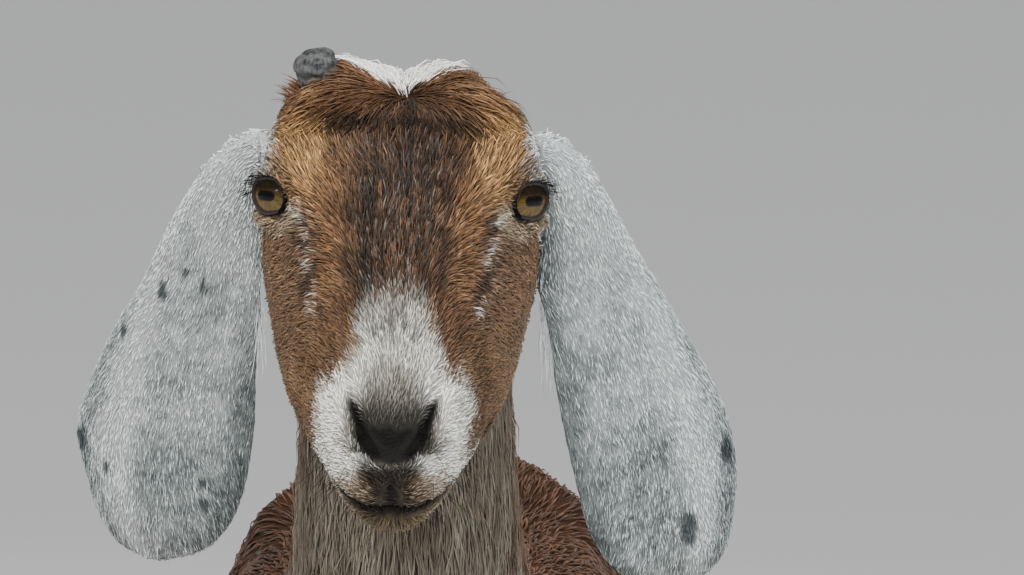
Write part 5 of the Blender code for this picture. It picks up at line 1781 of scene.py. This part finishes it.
def lid_ring(side):
    """The margin of the lids: a thick rolled rim that follows the almond of the opening on the ball.

    Each place on the almond carries the same profile, from under the rim, over its edge and out to
    where it sinks in the skin; the upper lid is the heavier one."""
    look, along, across = eye_axes(side)
    angle = np.linspace(0, 2 * np.pi, 96, endpoint=False)
    c, s = np.cos(angle), np.sin(angle)
    tear = smooth_step(0.35, 1.0, c)
    almond = 1 - 0.12 * np.abs(np.sin(2 * angle)) ** 1.5
    u = LID_HALF_LENGTH * c * (1 + 0.20 * tear) * almond
    v = LID_HALF_HEIGHT * s * (1 - 0.42 * tear) * almond - LID_DROP
    heavy = 1 + 0.55 * np.clip(s, 0, 1)
    profile = np.array(((0.2, -1.6), (-0.35, 0.0), (-0.25, 0.5), (0.0, 0.85), (0.35, 1.0), (0.7, 0.9),
                        (1.1, 0.4), (1.4, -0.4), (1.3, -1.6))) * MM
    size = np.hypot(u, v + LID_DROP)
    rows = []
    for out, lift in profile:
        wide = 1 + out * heavy / size
        flat = along[None] * (u * wide)[:, None] + across[None] * ((v + LID_DROP) * wide - LID_DROP)[:, None]
        deep = np.sqrt(np.maximum(EYE_RADIUS ** 2 - (flat ** 2).sum(1), 1e-8))
        place = unit(flat + look[None] * deep[:, None])
        rows.append(place * (EYE_RADIUS + lift * (0.8 + 0.35 * heavy))[:, None])
    return head_to_world(np.array(rows) + on_side(EYE_CENTRE, side))


def ring_surface(name, grid):
    """A closed ring whose profile is closed too, from a grid of profile places by places around."""
    rows, around = grid.shape[:2]
    i, j = np.meshgrid(np.arange(rows), np.arange(around), indexing="ij")
    ni, nj = (i + 1) % rows, (j + 1) % around
    faces = np.stack([i * around + j, i * around + nj, ni * around + nj, ni * around + j], -1)
    made = new_object(name, grid.reshape(-1, 3) + SHIFT, faces.reshape(-1, 4))
    face_outwards(made)
    made.data.shade_smooth()
    return made


# The photograph: its size and the middle between the eyes in pixels, a pixel's size at the eyes, and the
# camera's distance and how far it looks down.
PHOTO_WIDTH, PHOTO_HEIGHT = 1024, 575
EYES_PIXEL = (400.5, 199.5)
PHOTO_PIXEL = 0.00045
PHOTO_FAR = 2.5
PHOTO_PITCH = math.radians(6)


# Settings, operators and panel

class GoatSettings(bpy.types.PropertyGroup):
    """Sizes and colours that a user would change."""

    nose_hair: FloatProperty(name="Nose hair", description="Length of the hair on the nose",
                             default=5.0 * MM, unit="LENGTH")
    brow_hair: FloatProperty(name="Brow hair", description="Length of the hair on brow and cheeks",
                             default=10.5 * MM, unit="LENGTH")
    neck_hair: FloatProperty(name="Neck hair", description="Length of the hair on the neck",
                             default=28.0 * MM, unit="LENGTH")
    body_hair: FloatProperty(name="Body hair", description="Length of the hair on the trunk",
                             default=25.0 * MM, unit="LENGTH")
    floor_colour: FloatVectorProperty(name="Floor", description="Colour of the floor", subtype="COLOR",
                                      default=(0.62, 0.61, 0.59))


def chosen():
    """The settings of the scene."""
    return bpy.context.scene.goat


class GOAT_OT_stage(bpy.types.Operator):
    """Pale floor, soft lights and the camera at the photograph's angle"""

    bl_idname = "goat.stage"
    bl_label = "Stage"

    def execute(self, context):
        ahead = np.array((0, math.cos(PHOTO_PITCH), -math.sin(PHOTO_PITCH)))
        upward = np.array((0, math.sin(PHOTO_PITCH), math.cos(PHOTO_PITCH)))
        beside = (PHOTO_WIDTH / 2 - EYES_PIXEL[0]) * PHOTO_PIXEL
        below = (PHOTO_HEIGHT / 2 - EYES_PIXEL[1]) * PHOTO_PIXEL
        middle = EYES_MIDDLE + SHIFT + np.array((1.0, 0, 0)) * beside - upward * below
        lens = bpy.data.cameras.new("camera")
        lens.sensor_width = 36
        lens.lens = 36 * PHOTO_FAR / (PHOTO_WIDTH * PHOTO_PIXEL)
        lens.clip_end = 200
        seen = bpy.data.objects.new("camera", lens)
        seen.location = Vector(middle - ahead * PHOTO_FAR)
        seen.rotation_euler = (math.pi / 2 - PHOTO_PITCH, 0, 0)
        bpy.context.collection.objects.link(seen)
        bpy.context.scene.camera = seen
        floor = new_object("floor", [(-40, -40, 0), (40, -40, 0), (40, 40, 0), (-40, 40, 0)], [(0, 1, 2, 3)])
        made, _, shader = plain_material("floor", 0.8, 0.2)
        feed(shader, {"Base Color": (*chosen().floor_colour, 1)})
        floor.data.materials.append(made)
        for name, place, aim, size, power, colour in (
                ("key", (-0.7, -2.4, 3.2), (0, -0.4, 0.85), 1.4, 175, (1.0, 0.97, 0.93)),
                ("fill", (2.4, -2.2, 1.5), (0, -0.3, 0.8), 2.4, 66, (0.93, 0.96, 1.0)),
                ("back", (0.8, 2.6, 2.6), (0, 0.0, 0.7), 2.0, 90, (1.0, 1.0, 1.0)),
                ("glint", (-1.1, -2.8, 2.3), (0, -0.5, 0.94), 0.22, 5, (1.0, 1.0, 1.0))):
            lamp = bpy.data.lights.new(name, "AREA")
            lamp.size = size
            lamp.energy = power
            lamp.color = colour
            light = bpy.data.objects.new(name, lamp)
            light.location = place
            light.rotation_euler = (Vector(aim) - Vector(place)).to_track_quat("-Z", "Y").to_euler()
            light.visible_glossy = name == "glint"
            bpy.context.collection.objects.link(light)
        world = bpy.data.worlds.new("studio")
        world.use_nodes = True
        glossy = shader_node(world.node_tree, "LightPath").outputs["Is Glossy Ray"]
        dimmed = shader_node(world.node_tree, "MapRange", {"Value": glossy, "To Min": 1.05, "To Max": 0.08})
        feed(world.node_tree.nodes["Background"], {"Color": (0.80, 0.82, 0.85, 1),
                                                   "Strength": dimmed.outputs["Result"]})
        bpy.context.scene.world = world
        return {"FINISHED"}


class GOAT_OT_skin(bpy.types.Operator):
    """One skin over head, ears, neck, trunk, legs and tail"""

    bl_idname = "goat.skin"
    bl_label = "Skin"

    def execute(self, context):
        made = skin_of_head()
        boolean(made, skin_of_body(), "UNION")
        keep_largest(made)
        made.name = "skin"
        made.data.name = "skin"
        points = points_of(made)
        bare = np.zeros(len(points))
        near = points[:, 1] < -0.48
        bare[near] = bare_share(world_to_head(points[near]))
        part = part_of(points)
        # painted shade under the coat: hairy skin is darkened, bare skin keeps its colour
        tone = coat_colour(points, part) * np.maximum(np.where(part, EAR_SKIN_SHADE_UNDER_HAIR, SKIN_SHADE_UNDER_HAIR), bare)[:, None]
        point_colours(made.data, tone)
        layer = made.data.attributes.new("bare", "FLOAT", "POINT")
        layer.data.foreach_set("value", bare)
        set_points(made, points + SHIFT)
        made.data.materials.clear()
        made.data.materials.append(skin_material())
        skin_surface.cache_clear()
        made.data.shade_smooth()
        dress(made, "body_coat", "head", "neck", "torso", "tail", "ear_left", "ear_right",
              *(f"{end}_leg_{word}_{part}" for end in ("fore", "hind") for word in ("left", "right")
                for part in ("upper", "lower")))
        return {"FINISHED"}


class GOAT_OT_eyes(bpy.types.Operator):
    """Eyes and the rims of their lids"""

    bl_idname = "goat.eyes"
    bl_label = "Eyes"

    def execute(self, context):
        wet = eye_material()
        lid = lid_material()
        for side, word in SIDES:
            ball = eye_ball(side)
            ball.name = f"eyeball_{word}"
            ball.data.materials.append(wet)
            dress(ball, "eye", f"eye_{word}")
            rim = ring_surface(f"lids_{word}", lid_ring(side))
            rim.data.materials.append(lid)
            dress(rim, "face_coat")
        return {"FINISHED"}


class GOAT_OT_horn(bpy.types.Operator):
    """The blunt horn stub on the goat's right"""

    bl_idname = "goat.horn"
    bl_label = "Horn"

    def execute(self, context):
        made = tube("horn_stub", horn_rings(60, 64))
        points = points_of(made)
        points = points + normals_of(made) * (0.35 * MM * noise(points * (1, 1, 2.5), 0.003, 41))[:, None]
        set_points(made, points + SHIFT)
        made.data.shade_smooth()
        horny = horn_material("horn", linear(96, 97, 96), linear(28, 30, 34), 60.0, 0.62)
        made.data.materials.append(horny)
        dress(made, "horn", "horn_right")
        return {"FINISHED"}


class GOAT_OT_feet(bpy.types.Operator):
    """Claws and dewclaws"""

    bl_idname = "goat.feet"
    bl_label = "Feet"

    def execute(self, context):
        horny = horn_material("hoof", linear(104, 92, 78), linear(40, 35, 31), 120.0, 0.48)
        for end, foot, girths in (("fore", FORE_FOOT, FORE_GIRTHS), ("hind", HIND_FOOT, HIND_GIRTHS)):
            fetlock = girths[-4]
            for side, word in SIDES:
                for inner, part in ((True, "inner"), (False, "outer")):
                    claw = tube(f"{end}_claw_{word}_{part}", claw_rings(foot, side, inner, 24, 64))
                    rings = dewclaw_rings(fetlock[0], fetlock[1] + fetlock[4] - 0.0065, fetlock[2] - 0.002,
                                          side, inner, 24, 28)
                    peg = tube(f"{end}_peg_{word}_{part}", rings)
                    for made, node in ((claw, "hoof"), (peg, "dewclaw")):
                        set_points(made, points_of(made) + SHIFT)
                        made.data.shade_smooth()
                        made.data.set_sharp_from_angle(angle=math.radians(50))
                        made.data.materials.append(horny)
                        dress(made, "hoof", f"{end}_{node}_{word}_{part}")
        return {"FINISHED"}


def head_part(points, part):
    """The head in front of the neck, without the leaves of the ears."""
    return ((NECK_TOP_POINT - points) @ NECK_TOP_WAY > -PART_LAP) & (part == 0)


def hairy(points):
    """Leaves the bare pad, the nostrils, the mouth's line and the balls of the eyes without hair."""
    local = world_to_head(points)
    side = np.abs(local[:, 0])
    nostril = to_polyline(np.stack([side, local[:, 1], local[:, 2]], 1), NOSTRIL)
    rho, _, near = round_eye(local)
    keep = (1 - bare_share(local)) * smooth_step(0.0026, 0.0045, nostril)
    keep = keep * np.where(near, smooth_step(1.10, 1.26, rho), 1)
    line = np.abs(local[:, 2] - mouth_height(local[:, 1]))
    return keep * np.where(local[:, 1] > 0.078, smooth_step(0.0006, 0.0018, line), 1)


def ear_root(local):
    """1 where the face runs over into the root of an ear, in the head's frame."""
    x, a, b = local.T
    return bump(np.hypot(a + 0.034, b - 0.012), 0.022) * smooth_step(0.044, 0.058, np.abs(x))


def leg_part(points):
    """Everything low, and higher up what stands over a foot, away from the middle."""
    x, y, z = points.T
    fore = (y > -0.30) & (y < -0.145)
    hind = (y > 0.205) & (y < 0.40)
    return (z < 0.44) & (fore | hind) & (np.abs(x) > 0.035) | (z < 0.36)


def tail_part(points):
    """What stands out behind, near the middle."""
    x, y, z = points.T
    return (y > 0.418) & (np.abs(x) < 0.045) & (z > 0.54)


def neck_part(points, part):
    """What lies between the planes at the neck's top and foot."""
    beyond = (points - NECK_TOP_POINT) @ NECK_TOP_WAY > -PART_LAP
    return beyond & ((points - NECK_FOOT_POINT) @ NECK_FOOT_WAY < 0.0) & (part == 0)


def trunk_part(points):
    """What lies beyond the neck's foot and is neither leg nor tail."""
    return ((points - NECK_FOOT_POINT) @ NECK_FOOT_WAY >= 0.0) & ~leg_part(points) & ~tail_part(points)


class GOAT_OT_face_coat(bpy.types.Operator):
    """Short hair of nose, brow, cheeks and the back of the head"""

    bl_idname = "goat.face_coat"
    bl_label = "Face coat"

    def execute(self, context):
        nose, brow = chosen().nose_hair, chosen().brow_hair

        def length(points):
            """Longest at the back of the head and the chin, shortest round the eyes and on the lips."""
            local = world_to_head(points)
            a = local[:, 1]
            rho, _, near = round_eye(local)
            full = brow + (nose - brow) * smooth_step(0.020, 0.090, a)
            full = full * np.where(near, 0.35 + 0.65 * smooth_step(1.2, 3.0, rho), 1)
            full = full * (1 - 0.35 * smooth_step(0.110, 0.135, a))
            full = full + 4.0 * MM * smooth_step(0.136, 0.143, shown_low(local)) * (a > 0.085)
            full = full * (1 + 0.8 * smooth_step(-0.050, -0.090, a))
            return full * (1 - 0.6 * ear_root(local))

        def width(points):
            """Finest on the nose, broadest at the back of the head."""
            a = world_to_head(points)[:, 1]
            return MM * (0.66 - 0.14 * smooth_step(0.02, 0.10, a) + 0.4 * smooth_step(-0.05, -0.09, a))

        def lift(points):
            """How far the hair stands off: least on the nose, most on the chin."""
            local = world_to_head(points)
            a = local[:, 1]
            rise = MM * (0.90 - 0.42 * smooth_step(0.02, 0.10, a) + 1.0 * smooth_step(-0.05, -0.09, a))
            rise = rise + 2.4 * MM * smooth_step(0.137, 0.143, shown_low(local)) * (a > 0.085)
            return rise * (1 - 0.6 * ear_root(local))

        def change(points):
            """Hairs differ most on the forehead."""
            return 0.38 - 0.20 * smooth_step(0.02, 0.06, shown_low(world_to_head(points)))

        # root: the painted shade at each hair's root on that piece
        for name, low, high, count, root in (("coat_nose", 0.062, 1.0, 17000, 0.70),
                                             ("coat_face", 0.004, 0.062, 17500, 0.38),
                                             ("coat_brow", -1.0, 0.004, 18500, 0.32)):
            def mask(points, part):
                """The hairy part of the head between two places along the face."""
                a = world_to_head(points)[:, 1]
                return head_part(points, part) * ((a >= low) & (a < high)) * hairy(points)

            coat_piece(name, mask, face_lie, head_chart, "face_coat", count, length, width, lift, change,
                       curl=0.16, shade=(root, 1.42))
        return {"FINISHED"}


class GOAT_OT_ear_coat(bpy.types.Operator):
    """Very short frosted hair of both ears"""

    bl_idname = "goat.ear_coat"
    bl_label = "Ear coat"

    def execute(self, context):
        for side, word in SIDES:
            def mask(points, part):
                """One ear, with fewer hairs in its cup."""
                return (part == side) * (0.65 + 0.35 * (ear_height(points, side) > 0))

            coat_piece(f"coat_ear_{word}", mask, ear_lie, ear_chart, "ear_coat", count=15500, length=4.3 * MM,
                       width=0.43 * MM, lift=0.35 * MM, change=0.26, curl=0.13, shade=(0.25, 1.34))
        return {"FINISHED"}


class GOAT_OT_neck_coat(bpy.types.Operator):
    """Longer fine roan hair of the neck, in two halves"""

    bl_idname = "goat.neck_coat"
    bl_label = "Neck coat"

    def execute(self, context):
        for side, word in SIDES:
            def mask(points, part):
                """One side of the neck."""
                return neck_part(points, part) * (points[:, 0] * side > 0)

            coat_piece(f"coat_neck_{word}", mask, neck_lie, neck_chart, "neck_coat", count=12000,
                       length=chosen().neck_hair, width=0.80 * MM, lift=1.3 * MM, change=0.16, curl=0.12,
                       shade=(0.76, 1.14))
        return {"FINISHED"}


class GOAT_OT_body_coat(bpy.types.Operator):
    """Flat brown hair of the trunk"""

    bl_idname = "goat.body_coat"
    bl_label = "Body coat"

    def execute(self, context):
        for side, word in SIDES:
            def mask(points, part):
                """One side of the trunk."""
                return trunk_part(points) * (points[:, 0] * side > 0)

            coat_piece(f"coat_trunk_{word}", mask, body_lie, body_chart, "body_coat", count=13500,
                       length=chosen().body_hair, width=1.35 * MM, lift=1.2 * MM, change=0.20, curl=0.12,
                       shade=BROWN_ROOT_SHADOW)
        return {"FINISHED"}


class GOAT_OT_leg_coat(bpy.types.Operator):
    """Short hair of the legs, down over the coronets"""

    bl_idname = "goat.leg_coat"
    bl_label = "Leg coat"

    def execute(self, context):
        coat_piece("coat_legs", lambda points, part: leg_part(points), leg_lie, leg_chart, "leg_coat",
                   count=11500, length=12.0 * MM, width=1.25 * MM, lift=0.8 * MM, change=0.18,
                   shade=BROWN_ROOT_SHADOW)
        return {"FINISHED"}


class GOAT_OT_tail_coat(bpy.types.Operator):
    """Long hair of the tail"""

    bl_idname = "goat.tail_coat"
    bl_label = "Tail coat"

    def execute(self, context):
        coat_piece("coat_tail", lambda points, part: tail_part(points), tail_lie, tail_chart, "body_coat",
                   count=2200, length=42.0 * MM, width=1.5 * MM, lift=5.0 * MM, change=0.2, curl=0.22)
        return {"FINISHED"}


class GOAT_OT_poll_hair(bpy.types.Operator):
    """The longer hair of the poll: a white fan at the whorl, brown where it falls to the crease"""

    bl_idname = "goat.poll_hair"
    bl_label = "Poll hair"

    def execute(self, context):
        surface = skin_surface()
        rng = grown_seed("poll")
        count = 3200
        x, a, b = world_to_head(surface.middles).T
        off_horn = np.hypot(x - HORN_TIP[0], a - HORN_TIP[1]) > 0.014
        poll = (np.abs(x) < 0.040) * (a > -0.070) * (a < CREASE_A - 0.003) * (b > 0.010)
        roots, normals, face = scatter(surface, (surface.part == 0) * off_horn * poll, count, rng)
        way = combed(face_lie(roots, normals), normals, rng.normal(0.0, 0.20, count))
        local = world_to_head(roots)
        side = np.abs(local[:, 0])
        reach = np.linalg.norm(local - WHORL, axis=1)
        lengths = (0.012 + 0.009 * smooth_step(0.004, 0.024, reach)) * np.exp(rng.normal(0, 0.20, count))
        forward = np.maximum((world_to_head(way + EYES_MIDDLE))[:, 1], 0.2)
        room = (CREASE_A + 0.004 - local[:, 1] + rng.normal(0, 0.003, count)) / forward
        lengths = np.minimum(lengths, np.maximum(room, 0.005)) * (1 - 0.45 * smooth_step(0.024, 0.038, side))
        hump = smooth_step(0.004, 0.022, side)
        lifts = (1.0 * MM + 1.0 * MM * hump) * np.exp(rng.normal(0, 0.35, count))
        widths = 0.62 * MM * np.exp(rng.normal(0, 0.25, count))
        spines, outs = laid(roots, normals, way, lengths, lifts, surface.tree, 4)
        tone = coat_colour(spines[:, 1], surface.part[face]) * np.exp(rng.normal(0, 0.20, count))[:, None]
        blades("poll_hair", spines, outs, widths, tone, head_chart, "face_coat")
        return {"FINISHED"}


def free_hairs(name, roots, ways, bends, lengths, width, colour, chart, slot, places=5):
    """Hairs that stand clear: each goes off along its way and is drawn aside by its bend, as the square
    of how far along it is."""
    t = np.linspace(0, 1, places)[None, :, None]
    far = lengths[:, None, None]
    spines = roots[:, None] + far * (ways[:, None] * t + bends[:, None] * t ** 2)
    outs = np.broadcast_to(unit(np.cross(ways, np.roll(ways, 1, 1) + 0.1))[:, None], spines.shape)
    tones = np.broadcast_to(colour, roots.shape)
    blades(name, spines, outs, np.full(len(roots), width), tones, chart, slot, ridge=0.8)


class GOAT_OT_temple_tufts(bpy.types.Operator):
    """A small reddish tuft at each temple, where the poll ends above the ear"""

    bl_idname = "goat.temple_tufts"
    bl_label = "Temple tufts"

    def execute(self, context):
        surface = skin_surface()
        rng = grown_seed("tufts")
        local = world_to_head(surface.middles)
        x, a, _ = local.T
        beside, low = np.where(x > 0, x - 0.0435, x + 0.0485), np.where(x > 0, 0.0490, 0.0475)
        place = np.hypot(beside, shown_low(local) + low) < 0.0045
        weights = place * (a < -0.035) * (surface.part == 0) * np.where(x > 0, 0.4, 1.0)
        roots, _, _ = scatter(surface, weights, 110, rng)
        side = np.sign(roots[:, 0])[:, None]
        way = unit(head_way(np.array((0.6, -0.45, 0.55)) * np.concatenate([side, side ** 2, side ** 2], 1)))
        way = unit(way + rng.normal(0, 0.30, roots.shape))
        bend = np.concatenate([0.3 * side, 0 * side, -0.2 + 0 * side], 1)
        lengths = 0.0072 * np.exp(rng.normal(0, 0.25, len(roots)))
        tone = RED_BROWN * 1.3 * np.exp(rng.normal(0, 0.3, (len(roots), 1)))
        free_hairs("temple_tufts", roots, way, bend, lengths, 0.42 * MM, tone, head_chart, "face_coat", 4)
        return {"FINISHED"}


class GOAT_OT_whiskers(bpy.types.Operator):
    """A few long dark hairs on chin and lips, and the lashes of the upper lids"""

    bl_idname = "goat.whiskers"
    bl_label = "Whiskers and lashes"

    def execute(self, context):
        surface = skin_surface()
        rng = grown_seed("whiskers")
        local = world_to_head(surface.middles)
        x, a, b = local.T
        low = shown_low(local)
        mask = (surface.part == 0) * (a > 0.085) * (b > -0.075) * smooth_step(0.098, 0.135, low)
        mask = mask * smooth_step(0.008, 0.016, np.abs(x) + 0.02 * (low > 0.138))
        count = 90
        roots, normals, _ = scatter(surface, mask, count, rng)
        ways = unit(normals + rng.normal(0, 0.25, (count, 3)) + (0, 0, -0.35))
        lengths = 0.013 * np.exp(rng.normal(0, 0.35, count))
        free_hairs("whiskers", roots, ways, np.array((0, 0.05, -0.22)) + 0 * ways, lengths, 0.26 * MM,
                   DARK_BROWN * 0.5, head_chart, "face_coat")
        lashes = []
        for side, _ in SIDES:
            grid = lid_ring(side)
            look = head_way(on_side(EYE_LOOK, side))
            edge, middle = grid[3], grid[3].mean(0)
            above = np.flatnonzero((edge - middle) @ np.array((0.35 * side, 0, 0.93)) > 0.0035)
            pick = rng.choice(above, 70)
            root = edge[pick] + (grid[4][pick] - edge[pick]) * rng.random((70, 1))
            way = unit(root - middle) * 0.55 + look * 0.8 + np.array((0, 0, -0.25))
            lashes.append((root, unit(way + rng.normal(0, 0.13, (70, 3)))))
        roots, ways = (np.concatenate(rows) for rows in zip(*lashes))
        lengths = 0.0062 * np.exp(rng.normal(0, 0.22, len(roots)))
        free_hairs("lashes", roots, ways, np.array((0, -0.05, -0.25)) + 0 * ways, lengths, 0.24 * MM,
                   DARK_BROWN * 0.5, head_chart, "face_coat", 4)
        return {"FINISHED"}


class GOAT_OT_ear_fringe(bpy.types.Operator):
    """Longer hairs that hang from the inner margins of the ears"""

    bl_idname = "goat.ear_fringe"
    bl_label = "Ear fringe"

    def execute(self, context):
        count = 48
        for side, word in SIDES:
            rng = grown_seed("fringe " + word)
            t, _, _, run, across = ear_spine(side, 400)
            margin = ear_rings(EARS[side], side, 400, 44)[:, 22]
            at = 0.30 + 0.13 * rng.beta(1.6, 2.0, count)
            root, along, wide = (
                np.stack([np.interp(at, knots, values[:, k]) for k in range(3)], 1)
                for knots, values in ((np.linspace(0, 1, 400), margin), (t, run), (t, across)))
            root = root + wide * rng.uniform(0.0010, 0.0045, (count, 1))
            way = along * 0.7 - wide * rng.uniform(0.2, 0.8, (count, 1))
            way = unit(way + rng.normal(0, 0.10, (count, 3)))
            bend = along * 0.45 + wide * 0.10
            lengths = np.minimum(0.015 * np.exp(rng.normal(0, 0.35, count)), 0.026)
            tone = mixed(EAR_LIGHT * 0.9, EAR_SPOT * 0.7, rng.random(count) * 1.6 - 0.6)
            free_hairs(f"fringe_{word}", root, way, bend, lengths, 0.22 * MM, tone, ear_chart, "ear_coat", 4)
        return {"FINISHED"}


STEPS = (GOAT_OT_stage, GOAT_OT_skin, GOAT_OT_eyes, GOAT_OT_horn, GOAT_OT_feet, GOAT_OT_face_coat,
         GOAT_OT_ear_coat, GOAT_OT_neck_coat, GOAT_OT_body_coat, GOAT_OT_leg_coat, GOAT_OT_tail_coat,
         GOAT_OT_poll_hair, GOAT_OT_temple_tufts, GOAT_OT_whiskers, GOAT_OT_ear_fringe)


class GOAT_PT_panel(bpy.types.Panel):
    """The steps of the build, in order"""

    bl_label = "Nubian goat"
    bl_idname = "GOAT_PT_panel"
    bl_space_type = "VIEW_3D"
    bl_region_type = "UI"
    bl_category = "Goat"

    def draw(self, context):
        for name in GoatSettings.__annotations__:
            self.layout.prop(context.scene.goat, name)
        for step in STEPS:
            self.layout.operator(step.bl_idname)


def register():
    """Makes the settings, operators and panel known."""
    for thing in (GoatSettings, *STEPS, GOAT_PT_panel):
        bpy.utils.register_class(thing)
    bpy.types.Scene.goat = PointerProperty(type=GoatSettings)


def unregister():
    """Takes them away again."""
    del bpy.types.Scene.goat
    for thing in reversed((GoatSettings, *STEPS, GOAT_PT_panel)):
        bpy.utils.unregister_class(thing)


def main():
    """Builds the goat step by step."""
    register()
    for step in STEPS:
        family, word = step.bl_idname.split(".")
        getattr(getattr(bpy.ops, family), word)()


if __name__ == "__main__":
    main()
